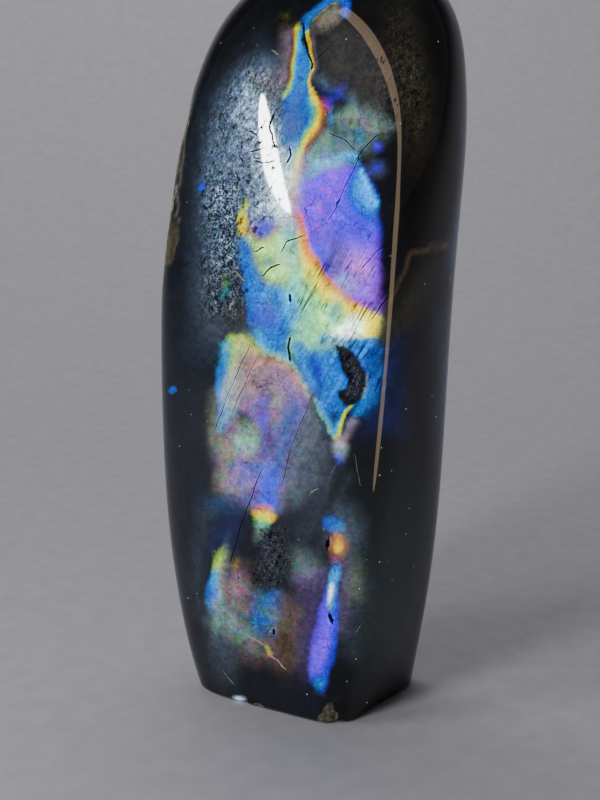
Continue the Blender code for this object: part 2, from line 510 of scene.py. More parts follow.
# The front, in the camera's own picture
FRONT_STROKES = {
    "dark depth": patch(
        "steel", 1.0, 30, (185, 60), (300, 20), (400, 60), (395, 640), (215, 660), (175, 300),
    ),
    "blue depth on the left": spot("deep blue", 0.8, 40, 205, 430, 170, 60),
    "teal depth low on the right": spot("deep teal", 0.7, 40, 372, 560, 70, 40, 10),
    "moss in the right cheek": spot("moss", 0.6, 14, 410, 78, 60, 15, -8),
    "moss by the healed crack": spot("moss", 0.5, 12, 402, 315, 34, 10, 30),
    "wide haze": patch(
        "silver", 0.24, 24, (262, 56), (236, 80), (212, 122), (202, 180), (200, 260), (204, 345), (244, 350),
        (252, 300), (242, 250), (248, 205), (294, 212), (292, 120), (280, 66),
    ),
    "haze": patch(
        "silver", 0.72, 13, (266, 60), (242, 74), (224, 102), (213, 140), (208, 204), (236, 214), (250, 206),
        (290, 208), (287, 150), (284, 112), (276, 80),
    ),
    # Painted glare: the sheen is brighter on both sides of the white streak that the polish mirrors.
    "haze with painted glare": ribbon("bright silver", 0.95, 12, 9, (250, 98), (254, 130), (260, 165), (268, 206)),
    "haze with painted glare on the far side": ribbon("milk", 0.75, 9, 5, (280, 132), (286, 165), (288, 200)),
    "pepper field": patch(
        "silver", 0.6, 14, (210, 190), (238, 200), (241, 250), (244, 266), (222, 270), (210, 240),
    ),
    "dim pepper": patch(
        "slate", 0.4, 16, (203, 258), (246, 262), (250, 300), (246, 326), (214, 330), (201, 300),
    ),
    "smoke over the shoulder": spot("smoke", 0.8, 12, 236, 318, 14, 20),
    "olive tint in the haze": spot("olive", 0.55, 9, 266, 88, 9, 13),
    "mauve tint in the haze": spot("mauve", 0.25, 6, 266, 77, 4, 10),
    "smoky window": patch(
        "smoke", 0.95, 9, (322, 32), (346, 24), (372, 42), (386, 72), (392, 108), (368, 108), (350, 106),
        (330, 86), (320, 74),
    ),
    "mottled band": patch(
        "sage", 0.8, 9, (312, 146), (330, 116), (350, 108), (376, 112), (388, 126), (370, 148), (354, 154),
        (328, 162), (310, 184), (300, 172),
    ),
    "milk in the mottling": spot("jade", 0.55, 9, 314, 166, 22, 8, 35),
    "pale sliver": ribbon("sky", 0.7, 3.5, 2.5, (331, 111), (334, 127)),
    "mottled green": spot("frost", 0.6, 8, 352, 122, 8, 6),
    "milk under the mottling": ribbon("silver", 0.8, 9, 6, (312, 168), (322, 152), (340, 142), (366, 132)),
    "green in the mottling": spot("green", 0.3, 6, 352, 124, 6, 5),
    "mottled blue": spot("sky", 0.45, 6, 360, 137, 7, 7),
    "brown middle of the mottling": spot("ink", 0.75, 7, 338, 132, 7, 9, 45),
    "inside of the arch": patch(
        "sand", 0.8, 5, (312, 28), (321, 12), (334, 4), (344, 8), (338, 22), (325, 28),
    ),
    "arch": ribbon("azure", 0.9, 3.5, 3.5, (303, 31), (307, 20), (316, 10), (328, 1), (342, -5)),
    "arch's right leg": ribbon("cobalt", 0.9, 3.5, 4, (338, -5), (348, 2), (346, 13)),
    "arch's gold line": ribbon("yellow", 0.3, 2, 1.2, (312, 24), (319, 14), (329, 6), (338, 3)),
    "gold breath by the arch": spot("gold", 0.10, 8, 289, 24, 7, 11),
    "green breath by the arch": spot("green", 0.12, 4, 284, 15, 4, 4),
    "mauve beside the channel": patch(
        "mauve", 0.40, 5, (284, 30), (293, 30), (291, 60), (287, 80), (280, 92), (277, 76), (281, 52),
    ),
    "channel's orange edge": ribbon("orange", 0.40, 3, 1.2, (293, 32), (294, 48), (290, 66), (287, 84)),
    "channel's left border": ribbon(
        "lime", 0.80, 3, 1.8, (297, 29), (298, 46), (294, 66), (291, 84), (284, 99),
    ),
    "channel's right border": ribbon(
        "yellow", 0.8, 2.5, 1.3, (307, 32), (310, 48), (312, 66), (308, 80), (310, 92),
    ),
    "channel's pink flank": ribbon("mauve", 0.35, 3, 1.2, (312, 34), (315, 52), (315, 66), (312, 80)),
    "channel": patch(
        "azure", 1.0, 3, (299, 40), (305, 52), (309, 66), (305, 84), (307, 98), (284, 108), (292, 86),
        (296, 64),
    ),
    "channel's cyan left": ribbon(
        "cyan", 0.85, 2.5, 1.2, (299, 34), (299, 50), (295, 68), (292, 86), (287, 97),
    ),
    "channel's cyan right": ribbon(
        "cyan", 0.6, 2.5, 1, (305, 56), (308, 66), (304, 82), (308, 97), (312, 106),
    ),
    "cyan beside the channel": ribbon("silver", 0.5, 5, 2.5, (320, 80), (330, 86), (344, 94), (352, 100)),
    "channel's broad foot": patch(
        "cobalt", 0.72, 6, (284, 102), (306, 94), (315, 104), (313, 124), (300, 152), (292, 180), (286, 194),
        (284, 160), (281, 130),
    ),
    "milk in the foot": spot("silver", 0.5, 9, 294, 128, 30, 9, 6),
    "azure in the foot": spot("azure", 0.8, 7, 304, 106, 12, 8, 10),
    "teal in the foot": ribbon("sky", 0.5, 5, 4, (288, 140), (300, 138), (290, 170), (288, 186)),
    "foot's dark chip": spot("ink", 0.6, 5, 307, 132, 10, 4, 20),
    "cyan by the gold line": ribbon(
        "cyan", 0.7, 4, 2, (308, 100), (313, 112), (309, 126), (300, 142), (292, 158), (288, 176), (287, 190),
    ),
    "green by the gold line": ribbon(
        "green", 0.65, 4, 2, (311, 98), (317, 112), (312, 126), (303, 142), (295, 158), (291, 176),
        (290, 190),
    ),
    "gold line": ribbon(
        "gold", 0.7, 4, 1.8, (313, 94), (322, 104), (325, 112), (319, 126), (309, 143), (300, 160),
        (296, 178), (294, 192),
    ),
    "yellow on the gold line": ribbon(
        "yellow", 0.95, 3, 1.6, (312, 92), (319, 103), (321, 112), (315, 126), (305, 143), (298, 158),
        (294, 174),
    ),
    "pink on the gold line": ribbon(
        "pink", 0.3, 4, 1.2, (324, 97), (330, 108), (325, 124), (314, 144), (305, 161), (300, 178),
    ),
    "violet smudge": spot("violet", 0.42, 6, 333, 97, 4, 11, -45),
    "sky by the smudge": ribbon("cobalt", 0.35, 5, 2, (322, 88), (332, 92), (344, 99)),
    # Painted glare where the mirrored white streak fades out below, over the milky sheen there.
    "milky sheen with painted glare under the streak": spot("milk", 0.95, 14, 283, 212, 34, 13, 8),
    "painted glare at the streak's foot": spot("white", 0.35, 12, 284, 196, 18, 7, 8),
    "cool column": ribbon("sea", 0.95, 12, 10, (283, 236), (290, 262), (298, 290), (301, 330), (305, 344)),
    "pale green middle": patch(
        "apple", 0.95, 13, (303, 258), (318, 284), (342, 306), (370, 324), (362, 338), (334, 346), (306, 342),
        (300, 300),
    ),
    "jade in the green": spot("jade", 0.8, 12, 304, 324, 26, 10, 4),
    "grey foot of the green": spot("jade", 0.5, 9, 316, 346, 8, 22),
    "tan border": ribbon(
        "rose tan", 0.85, 7, 6, (294, 190), (297, 214), (301, 236), (308, 256), (320, 274), (336, 290),
    ),
    "violet heart": patch(
        "violet", 0.92, 7, (304, 186), (318, 171), (345, 165), (360, 168), (372, 190), (379, 225), (380, 262),
        (376, 290), (368, 312), (354, 303), (338, 289), (324, 272), (313, 255), (306, 232), (302, 208),
    ),
    "heart's violet left": spot("violet", 0.95, 10, 315, 205, 30, 13),
    "heart's iris right": patch(
        "iris", 1.0, 9, (338, 198), (362, 206), (376, 225), (377, 248), (352, 246), (332, 232),
    ),
    "heart's violet top": spot("violet", 1.05, 9, 332, 182, 12, 18),
    "heart's dusty middle": patch(
        "heather", 0.7, 9, (326, 236), (345, 244), (352, 264), (346, 284), (330, 280), (320, 262),
    ),
    "heart's magenta": spot("lilac", 0.9, 10, 360, 268, 20, 13, -15),
    "heart's pink knot": spot("pearl", 0.7, 7, 360, 267, 10, 7, -15),
    "heart's pale knot": spot("milk", 0.5, 8, 347, 284, 8, 9),
    "heart's iris knot": spot("iris", 0.95, 6, 322, 258, 12, 5, -12),
    "heart's lilac foot": spot("lilac", 0.7, 9, 365, 298, 15, 11, -20),
    "heart's shaded right": spot("ink", 0.85, 8, 389, 232, 58, 9, -5),
    "heart's azure wedge": patch(
        "azure", 1.5, 6, (352, 176), (358, 170), (368, 188), (375, 206), (366, 214), (354, 208), (348, 194),
    ),
    "wedge's cyan core": spot("sky", 1.6, 6, 366, 198, 14, 4, -22),
    "wedge's bright edge": ribbon("cyan", 2.0, 3, 1.8, (359, 171), (367, 187), (375, 205)),
    "heart's cyan brow": ribbon("cyan", 1.2, 6, 3.8, (314, 172), (322, 164), (336, 159), (353, 158)),
    "brow's milk": spot("milk", 0.5, 6, 322, 162, 4, 12, 10),
    "lime border": ribbon("lime", 1.0, 8, 5, (305, 264), (317, 287), (334, 303), (352, 318)),
    "yellow border": ribbon(
        "yellow", 1.3, 5, 3.6, (301, 232), (305, 252), (312, 268), (323, 284), (338, 297), (353, 309),
        (370, 324),
    ),
    "orange border": ribbon(
        "orange", 0.95, 4, 1.7, (300, 214), (303, 238), (309, 256), (319, 272), (332, 287), (346, 299),
        (358, 309),
    ),
    "white core": spot("white", 0.85, 6, 350, 330, 15, 7.5, 68),
    "core's cyan left": spot("sea", 0.9, 7, 333, 316, 13, 6, 15),
    "core's yellow corner": patch(
        "yellow", 1.35, 5, (352, 304), (366, 314), (378, 318), (378, 334), (368, 345), (362, 336), (362, 322),
    ),
    "corner's olive shade": spot("olive", 0.6, 6, 374, 340, 14, 6, 25),
    "cyan under the core": ribbon("cyan", 0.9, 6, 4, (322, 338), (345, 341), (362, 343)),
    "pale meadow": patch(
        "cream", 0.85, 9, (256, 244), (276, 236), (290, 242), (294, 268), (284, 284), (268, 285), (259, 268),
    ),
    "sea in the meadow": spot("sea", 0.5, 9, 284, 250, 16, 7, 20),
    "sea column over the meadow": ribbon("sea", 0.6, 7, 4, (289, 230), (293, 258), (297, 288), (298, 310)),
    "azure breath in the meadow": spot("azure", 0.5, 6, 268, 262, 5, 6),
    "bull's eye rim": ribbon("gold", 0.6, 6, 2.5, (248, 226), (253, 236), (262, 240), (272, 236), (277, 226)),
    "yellow under the rim": ribbon("cream", 0.5, 7, 4, (250, 240), (262, 246), (276, 240)),
    "bull's eye": spot("heather", 0.9, 8, 262, 223, 12, 11),
    "bull's eye's iris": spot("iris", 0.75, 7, 264, 226, 7, 7),
    "milk in the bull's eye": spot("milk", 0.35, 7, 259, 212, 9, 10),
    "lime nib": ribbon("lime", 0.8, 4, 2.6, (247, 204), (243, 212), (243, 224)),
    "nib's gold": ribbon("yellow", 0.9, 4, 2, (242, 218), (242, 234)),
    "azure bend": patch(
        "azure", 1.0, 4.5, (239, 238), (246, 238), (250, 252), (256, 266), (262, 282), (280, 290), (292, 297),
        (295, 312), (291, 330), (284, 350), (262, 346), (250, 330), (247, 300), (244, 275), (238, 256),
    ),
    "bend's cyan flank": patch(
        "cyan", 1.05, 6, (270, 290), (290, 290), (297, 302), (295, 330), (286, 318), (277, 302),
    ),
    "bend's sky waist": spot("sky", 1.0, 6, 268, 298, 8, 12),
    "bend's soft foot": spot("cobalt", 1.1, 9, 266, 316, 15, 13),
    "lilac in the foot": spot("heather", 0.4, 8, 268, 312, 12, 10),
    "foot's cyan lip": ribbon("cyan", 1.1, 4, 3, (258, 334), (260, 344), (270, 351), (284, 356)),
    "dusky neck of the bend": spot("slate", 0.5, 4, 252, 332, 8, 6),
    "azure field": patch(
        "azure", 1.0, 7, (298, 346), (330, 352), (352, 343), (374, 340), (388, 350), (386, 385), (376, 408),
        (365, 415), (350, 404), (341, 414), (335, 436), (326, 424), (318, 404), (306, 386), (298, 368),
    ),
    "field's dusk": patch("navy", 0.8, 14, (370, 350), (400, 340), (400, 430), (356, 432), (372, 392)),
    "dust on the field": spot("blue mist", 0.6, 8, 314, 375, 15, 7, -10),
    "iris in the dust": spot("iris", 0.5, 6, 315, 376, 12, 5, -10),
    "field's bright middle": spot("azure", 1.1, 8, 334, 374, 20, 10),
    "field's rays": ribbon("azure", 1.2, 4, 4, (369, 342), (353, 368)),
    "field's left edge": ribbon("sky", 1.0, 4, 3, (298, 346), (304, 364), (314, 386)),
    "cyan rim": ribbon(
        "cyan", 0.95, 3, 2.4, (257, 333), (259, 343), (268, 352), (284, 358), (295, 368), (306, 388),
    ),
    "lime on the rim": ribbon(
        "cream", 0.6, 3.5, 1.8, (262, 354), (280, 359), (291, 368), (302, 384), (308, 398),
    ),
    "V's rim": ribbon(
        "lime", 0.65, 2, 1.5, (316, 401), (322, 416), (329, 430), (335, 437), (341, 428), (345, 412),
    ),
    "V's cyan": ribbon("cyan", 0.95, 3, 2.5, (320, 404), (326, 418), (334, 432), (338, 424)),
    "V's dark middle": spot("navy", 0.85, 4, 333, 417, 6, 5),
    "V's gold fleck": ribbon(
        "yellow", 1.0, 2.5, 0.9, (352, 406), (346, 410), (345, 418), (340, 426), (338, 433),
    ),
    "V's pink tip": spot("pink", 0.5, 4, 340, 442, 6, 5),
    "V's iris tip": spot("iris", 0.5, 4, 338, 456, 8, 4),
    "milk in the tip": spot("frost", 0.5, 4, 340, 446, 9, 6),
    "blue ray": ribbon("sky", 0.5, 3.5, 3, (366, 398), (358, 410), (350, 424)),
    "pale ray": ribbon("mauve", 0.6, 3.5, 3, (354, 420), (344, 438)),
    "grey wedge": patch(
        "slate", 0.62, 8, (313, 397), (322, 420), (330, 450), (322, 484), (300, 506), (280, 504), (287, 460),
        (300, 425),
    ),
    "pale heart of the wedge": spot("silver", 0.18, 12, 300, 456, 40, 8, 12),
    "lime shoulder": patch(
        "lime", 0.78, 6, (230, 337), (244, 335), (262, 352), (256, 366), (240, 378), (227, 372),
    ),
    "milk in the shoulder": spot("frost", 0.25, 6, 240, 350, 14, 11, 20),
    "gold in the shoulder": ribbon("peach", 0.45, 6, 4, (254, 354), (245, 364), (236, 374)),
    "left patch": patch(
        "heath", 0.78, 9, (240, 352), (262, 352), (284, 362), (300, 380), (311, 400), (302, 430), (290, 470),
        (280, 506), (240, 504), (222, 490), (216, 450), (222, 400), (232, 370),
    ),
    "mauve dome": patch(
        "mauve", 0.9, 8, (248, 368), (266, 360), (284, 366), (298, 382), (306, 400), (298, 420), (276, 420),
        (250, 412), (236, 400), (240, 382),
    ),
    "dome's warm top": spot("rose", 0.5, 10, 260, 384, 18, 16),
    "dome's lilac flank": spot("lilac mist", 0.75, 8, 292, 398, 22, 10, -18),
    "dome's tan crumb": spot("moss mist", 0.5, 6, 272, 398, 9, 7),
    "violet under the dome": spot("lilac mist", 0.9, 8, 254, 409, 8, 13),
    "periwinkle under the dome": spot("iris", 0.62, 8, 263, 422, 26, 6, 6),
    "blue stripes": ribbon("blue mist", 0.95, 10, 9, (294, 410), (285, 440), (276, 472)),
    "teal in the stripes": ribbon("teal", 0.6, 8, 4, (290, 412), (284, 432), (276, 458)),
    "wedge's sharp flank": patch(
        "slate", 0.85, 1.8, (313, 397), (319, 412), (318, 440), (304, 464), (281, 480), (289, 455),
        (299, 425),
    ),
    "dark blot": spot("moss", 0.8, 6, 243, 418, 8, 8),
    "pale green blob": spot("jade", 0.5, 7, 246, 441, 14, 10, 15),
    "blob's lime edge": spot("moss mist", 0.7, 6, 250, 432, 8, 9),
    "blob's milk": spot("frost", 0.5, 5, 243, 444, 5, 5),
    "pink under the blob": spot("rose", 0.45, 6, 247, 456, 5, 9),
    "indigo lobe": patch(
        "heather", 0.9, 9, (234, 466), (250, 458), (268, 464), (278, 484), (278, 506), (256, 506), (238, 500),
        (230, 484),
    ),
    "lobe's violet": spot("lilac mist", 0.7, 8, 244, 486, 12, 9, 30),
    "lobe's bright side": spot("indigo", 1.25, 7, 268, 488, 20, 7, 2),
    "lobe's blue middle": spot("heather", 0.6, 9, 250, 480, 14, 12, 20),
    "lobe's plum left": spot("mauve", 0.6, 7, 235, 488, 9, 8),
    "lobe's violet foot": spot("periwinkle", 0.9, 5, 262, 503, 5, 9),
    "left rim": ribbon("cyan", 0.85, 6, 4, (226, 346), (222, 368), (223, 395), (226, 410), (221, 428)),
    "rim's azure": ribbon("azure", 1.0, 4, 1.8, (221, 368), (219, 396), (221, 412)),
    "rim's frost": spot("frost", 0.8, 6, 231, 392, 18, 6, 12),
    "rim's moss": ribbon("moss mist", 0.45, 8, 2, (214, 396), (214, 420), (215, 442)),
    "pale net": ribbon("moss mist", 0.5, 8, 4, (220, 434), (223, 452), (225, 470), (220, 484)),
    "dusk at the patch's foot": spot("ink", 0.7, 8, 228, 502, 6, 14, -20),
    "dome's rim": ribbon("peach", 0.35, 4.5, 2, (250, 366), (266, 360), (281, 364), (292, 375), (300, 388)),
    "teal under the net": spot("teal", 0.45, 10, 224, 504, 8, 14),
    "navy slope": spot("navy", 1.0, 10, 226, 536, 26, 11, 15),
    "rainbow's orange": spot("orange", 0.8, 4, 261, 509, 3.5, 8),
    "rainbow's yellow": spot("yellow", 1.3, 4, 265, 516, 4, 8),
    "rainbow's green": spot("mint", 0.7, 5, 261, 524, 5, 6),
    "rainbow's foot": spot("frost", 0.35, 5, 260, 533, 5, 4),
    "flame's lime": spot("lime", 0.85, 5, 220, 564, 12, 5, 12),
    "flame's cyan": spot("cyan", 1.0, 5, 217, 582, 9, 5),
    "flame's azure": spot("azure", 1.1, 6, 215, 598, 14, 6, 4),
    "flame's milk": spot("frost", 0.6, 5, 221, 590, 20, 3, 8),
    "yellow chip": spot("yellow", 0.7, 4, 235, 568, 6, 3, 10),
    "brown mosaic": patch(
        "umber", 0.9, 9, (226, 562), (248, 566), (256, 590), (262, 606), (250, 622), (232, 612), (224, 590),
    ),
    "pink patch": spot("mauve", 0.6, 8, 236, 588, 11, 9),
    "pale slope": patch(
        "sage", 0.8, 9, (214, 604), (232, 606), (246, 622), (262, 640), (268, 652), (250, 648), (228, 636),
        (212, 622),
    ),
    "slate slope": spot("slate", 0.45, 12, 224, 648, 26, 12, -8),
    "teal field": patch(
        "teal", 0.95, 7, (259, 590), (268, 587), (279, 590), (285, 604), (283, 628), (270, 644), (253, 636),
        (249, 614),
    ),
    "azure in the teal": spot("azure", 0.7, 7, 271, 600, 10, 7, 20),
    "azure in the teal's foot": spot("azure", 0.62, 6, 259, 621, 7, 8, 30),
    "pale net over the teal": ribbon("sage", 0.55, 5, 2.5, (266, 610), (276, 616), (280, 628)),
    "veil by the dark stone": patch(
        "sage", 0.45, 9, (288, 550), (306, 552), (320, 566), (312, 580), (296, 576), (286, 566),
    ),
    "lilac haze": spot("dusk", 0.55, 9, 311, 578, 9, 11),
    "umber field": patch(
        "umber", 0.85, 12, (278, 600), (304, 602), (310, 640), (302, 664), (272, 662), (266, 644), (280, 628),
    ),
    "amber band": spot("amber", 1.0, 9, 288, 640, 26, 9, 4),
    "gold in the amber": spot("gold", 0.14, 8, 286, 646, 14, 6, 4),
    "umber under the seam": spot("umber", 0.9, 9, 258, 650, 12, 14),
    "moss right of the streak": spot("moss mist", 0.4, 9, 354, 582, 14, 7),
    "plum field": patch(
        "plum", 0.95, 12, (302, 580), (328, 570), (324, 620), (316, 690), (300, 688), (298, 640),
    ),
    "sky haze at the crown": spot("slate", 0.7, 12, 344, 528, 18, 14),
    "grey strip low on the front": ribbon("slate", 0.30, 7, 3, (336, 468), (318, 510), (300, 556)),
    "second grey strip": ribbon("slate", 0.24, 6, 2, (350, 476), (334, 512), (312, 566)),
    "third grey strip": ribbon("slate", 0.22, 6, 2.5, (316, 500), (300, 528), (290, 552)),
    "grey breath at the left": ribbon("slate", 0.22, 9, 5, (206, 516), (196, 560), (200, 610)),
    "blue breath low on the right": ribbon("slate", 0.25, 12, 6, (352, 540), (362, 590), (352, 650)),
    "streak's blue crown": spot("sky", 0.75, 6, 337, 527, 6, 7),
    "streak's cobalt side": spot("cobalt", 0.75, 5, 329, 523, 5, 5),
    "streak's peach": spot("peach", 0.4, 6, 338, 547, 9, 6),
    "streak's orange": spot("orange", 0.9, 3.5, 338, 543, 5, 3),
    "streak's gold core": spot("yellow", 1.1, 3.5, 338.5, 548, 4, 2.8),
    "streak's pink": spot("pink", 0.35, 5, 336, 560, 3, 5),
    "lilac flank": ribbon("dusk", 0.32, 10, 4, (341, 562), (343, 585), (339, 630)),
    "streak": patch(
        "iris", 0.95, 7, (328, 592), (334, 592), (335, 620), (332, 645), (326, 670), (320, 690), (316, 686),
        (316, 655), (321, 620),
    ),
    "streak's violet shade": ribbon("iris", 0.8, 7, 2, (325, 612), (319, 640), (316, 668), (317, 682)),
    "streak's bright ridge": ribbon("azure", 0.95, 4, 0.8, (334, 600), (334, 630), (330, 656), (323, 684)),
    "streak's azure neck": ribbon("azure", 0.95, 4, 3, (335, 566), (333, 584)),
    "streak's bright neck": ribbon("cyan", 1.2, 4, 2.6, (334, 572), (332, 592), (331, 608)),
    "streak's white": ribbon("white", 0.5, 2.5, 1.2, (332, 586), (331, 600)),
    "streak's violet": spot("violet", 0.95, 9, 321, 652, 24, 5, 8),
    "streak's tip": spot("sky", 0.85, 4, 318, 684, 8, 6),
    "blue fleck": spot("indigo", 1.0, 2.5, 203, 187, 4, 4),
    "lower blue fleck": spot("cobalt", 0.8, 2, 173, 391, 3, 3),
    "green fleck": spot("green", 0.28, 4, 226, 284, 9, 3, 10),
    "teal fleck": spot("cyan", 0.35, 4, 226, 294, 6, 3, 10),
    "small violet spot": spot("iris", 0.6, 3.5, 377, 147, 4, 5),
    "lower violet spot": spot("slate", 0.8, 5, 376, 167, 7, 8),
    "iris in the lower spot": spot("iris", 0.5, 5, 377, 166, 5, 6),
    "dark stone": patch(
        "night", 0.95, 6, (262, 532), (284, 528), (291, 545), (290, 570), (284, 584), (272, 592), (256, 588),
        (252, 570), (256, 545),
    ),
    "grains of the dark stone": patch(
        "dark mist", 0.35, 6, (262, 532), (284, 528), (290, 570), (272, 590), (256, 580),
    ),
    "crescent": patch(
        "ink", 1.0, 2.2, (333, 345), (343, 345), (352, 351), (360, 361), (365, 373), (367, 386), (362, 398),
        (353, 406), (344, 406), (339, 399), (338, 391), (345, 388), (347, 380), (343, 369), (339, 358),
    ),
    "crescent's grains": patch(
        "dark mist", 0.5, 3, (342, 352), (356, 362), (363, 384), (352, 402), (346, 396), (352, 378),
    ),
    # Painted highlight along the pit's lit right rim
    "painted highlight on the crescent's rim": ribbon("frost", 0.35, 2, 0.8, (366, 376), (367, 387), (362, 398)),
    "dark foot": patch(
        "ink", 0.85, 9, (250, 668), (302, 674), (330, 700), (325, 722), (280, 716), (244, 696),
    ),
    "glint at the foot": spot("milk", 0.9, 2, 238, 699, 2.2, 4.5),
    "yellow on the seam": spot("yellow", 0.5, 3, 267, 650, 6, 2, -10),
    "rind's pale lip": ribbon(
        "sand", 0.5, 1.5, 1, (188, 117), (183, 150), (180, 176), (177, 203), (174, 218), (180, 224),
    ),
    "rind's lower lip": ribbon("sand", 0.35, 1.5, 0.8, (178, 228), (177, 242), (173, 256), (168, 264)),
    "olive lens": spot("lens", 0.9, 4, 169, 244, 17, 5, 12),
    "healed crack": ribbon(
        "rust", 0.9, 2.5, 1.4, (384, 312), (395, 290), (405, 270), (412, 253), (425, 248), (447, 244),
    ),
}

# The colour play round the stone, each set as the camera would see it after walking round to a compass angle
SIDE_STROKES = {
    180: {
        "wide veil": patch(
            "mist", 0.30, 40, (225, 90), (340, 40), (410, 180), (400, 360), (310, 430), (230, 300),
        ),
        "moss by the hollow": patch(
            "moss", 0.8, 34, (210, 360), (300, 380), (320, 520), (250, 580), (200, 460),
        ),
        "blue sheet": patch(
            "azure", 0.60, 26, (262, 170), (300, 120), (350, 112), (384, 180), (366, 272), (322, 330),
            (280, 306), (256, 240),
        ),
        "sheet's iris": spot("iris", 0.75, 22, 330, 176, 46, 26, 18),
        "sheet's violet": spot("violet", 0.6, 18, 344, 150, 24, 16, 18),
        "sheet's sky foot": spot("sky", 0.6, 18, 314, 288, 26, 26),
        "sheet's green foot": ribbon("green", 0.42, 13, 5, (262, 250), (284, 316), (324, 344), (352, 320)),
        "sheet's gold foot": ribbon("gold", 0.34, 10, 3, (252, 260), (278, 328), (322, 358), (356, 338)),
        "dust over the sheet": patch("slate", 0.55, 20, (300, 206), (352, 190), (362, 232), (316, 262)),
        "mauve window": patch("heath", 0.55, 24, (352, 380), (386, 360), (396, 430), (370, 480), (346, 440)),
        "low flash": patch(
            "cobalt", 0.62, 22, (290, 478), (338, 452), (368, 506), (350, 590), (306, 600), (284, 540),
        ),
        "low flash's azure": spot("azure", 0.75, 16, 326, 510, 40, 16, 12),
        "low flash's iris": spot("iris", 0.55, 16, 340, 566, 22, 12, 10),
        "low flash's green": ribbon("mint", 0.30, 12, 5, (280, 470), (272, 540), (296, 606)),
        "thread of gold": ribbon("gold", 0.30, 6, 2, (330, 400), (312, 424), (318, 452), (296, 470)),
    },
    90: {
        "cheek's veil": spot("mist", 0.22, 34, 330, 250, 150, 30, 4),
        "cheek's flash": patch(
            "cobalt", 0.5, 20, (322, 180), (348, 170), (354, 260), (338, 330), (322, 300), (316, 236),
        ),
        "cheek's azure": spot("azure", 0.5, 14, 332, 236, 34, 9, 6),
        "cheek's green": ribbon("green", 0.22, 10, 4, (322, 290), (332, 330), (350, 350)),
        "cheek's low flash": spot("azure", 0.36, 22, 338, 520, 60, 15, -6),
    },
    -90: {
        "left side's veil": spot("slate", 0.30, 34, 262, 330, 170, 30, -4),
        "left side's flash": patch(
            "azure", 0.45, 22, (246, 370), (276, 344), (286, 420), (270, 510), (248, 480),
        ),
        "left side's iris": spot("iris", 0.5, 14, 266, 430, 34, 9, -4),
        "left side's green": ribbon("mint", 0.26, 12, 5, (244, 380), (240, 440), (254, 510)),
        "left side's blue": spot("cobalt", 0.32, 20, 256, 190, 54, 12, 8),
    },
}

# The colour of strokes that only mark places: where grains, fine lines and small flashes of many hues lie
MASK = ""
PEPPER_STROKES = {
    "pepper": patch(
        MASK, 1.0, 9, (206, 170), (236, 176), (244, 205), (238, 250), (246, 296), (236, 318), (206, 310),
    ),
    "crescent": patch(MASK, 0.8, 3, (335, 346), (357, 361), (365, 386), (352, 405), (339, 398), (349, 381)),
    "dark stone": patch(MASK, 0.8, 6, (262, 532), (284, 528), (291, 560), (272, 590), (254, 580)),
    "cheek's filaments": spot(MASK, 0.5, 14, 402, 78, 62, 21, -8),
    "finer pepper": patch(
        MASK, 0.45, 12, (250, 60), (280, 80), (286, 200), (240, 260), (204, 180), (214, 110),
    ),
}
STRIA_STROKES = {
    "middle": patch(MASK, 1.0, 22, (300, 240), (400, 260), (396, 410), (350, 425), (318, 370), (262, 300)),
    "left": patch(MASK, 0.45, 22, (225, 330), (290, 360), (310, 460), (280, 510), (225, 510)),
    "foot": patch(MASK, 0.4, 22, (215, 520), (330, 500), (330, 560), (215, 560)),
}
MOSAIC_STROKES = {
    "left patch": patch(MASK, 1.0, 14, (232, 400), (290, 400), (280, 500), (226, 500), (212, 450)),
    "foot": patch(MASK, 0.9, 14, (222, 555), (306, 555), (298, 670), (240, 680), (216, 640)),
    "mottled band": patch(MASK, 0.9, 12, (300, 170), (330, 110), (385, 110), (386, 140), (330, 165)),
}

# Cracks seen from the camera: half width and the places that each runs through, in picture pixels
DARK_CRACKS = {
    "across the heart": (0.4, ((358, 160), (346, 184), (336, 206), (328, 222))),
    "chip in the haze": (0.8, ((251, 131), (255, 134))),
    "lower chip in the haze": (0.8, ((257, 161), (262, 163))),
    "left chip in the haze": (0.6, ((241, 157), (243, 163))),
    "down the channel": (1.0, ((303, 27), (305, 42), (308, 54), (312, 62), (311, 70))),
    "from the channel to the window": (0.4, ((312, 62), (320, 56), (331, 44))),
    # Painted shade: the slits and the pit below are drawn dark for the shade inside them.
    "slit over the meadow": (0.7, ((282, 252), (287, 241), (302, 235))),
    "slit in the meadow": (0.9, ((264, 275), (270, 268), (278, 264))),
    "slit under the bull's eye": (0.8, ((257, 252), (263, 247))),
    "upright slit": (1.0, ((291, 338), (289, 348), (290, 360))),
    "pit in the cyan": (1.4, ((290, 295), (290, 301))),
    "chip in the white streak": (1.3, ((274, 115), (270, 124), (270, 132))),
    "chip on the streak's right": (1.1, ((272, 132), (273, 142), (276, 147))),
    "chip low in the streak": (0.7, ((267, 163), (272, 161))),
    "chip beside the streak": (1.0, ((290, 148), (291, 157), (287, 164))),
    "flake in the haze": (0.5, ((221, 112), (226, 122))),
    "second flake in the haze": (0.5, ((219, 126), (224, 134))),
    "third flake in the haze": (0.7, ((236, 172), (239, 180))),
    "chip beside it": (0.8, ((253, 151), (261, 149))),
    "long slant": (0.5, ((262, 470), (250, 500), (240, 530), (231, 562))),
    "left slant": (0.4, ((250, 345), (238, 372), (226, 400), (215, 430))),
    "second slant": (0.35, ((256, 358), (244, 386), (232, 412))),
    "wedge's edge": (0.35, ((313, 396), (300, 425), (290, 452), (281, 488))),
    "mottling's twigs": (0.5, ((331, 134), (346, 141), (354, 150))),
    "mottling's right twig": (0.55, ((356, 160), (364, 148), (377, 136))),
    "right of the heart": (0.5, ((362, 268), (375, 252), (386, 244))),
    "under the heart": (0.6, ((371, 320), (379, 308), (388, 296))),
    "chip in the streak": (1.9, ((330, 616), (331, 621))),
    "dark bead": (1.3, ((336, 200), (336, 201))),
    "bead by the orange": (1.9, ((328, 540), (327, 548))),
    "bead in the teal": (1.3, ((274, 630), (274, 633))),
    "bead in the chip": (1.1, ((238, 576), (238, 577))),
}
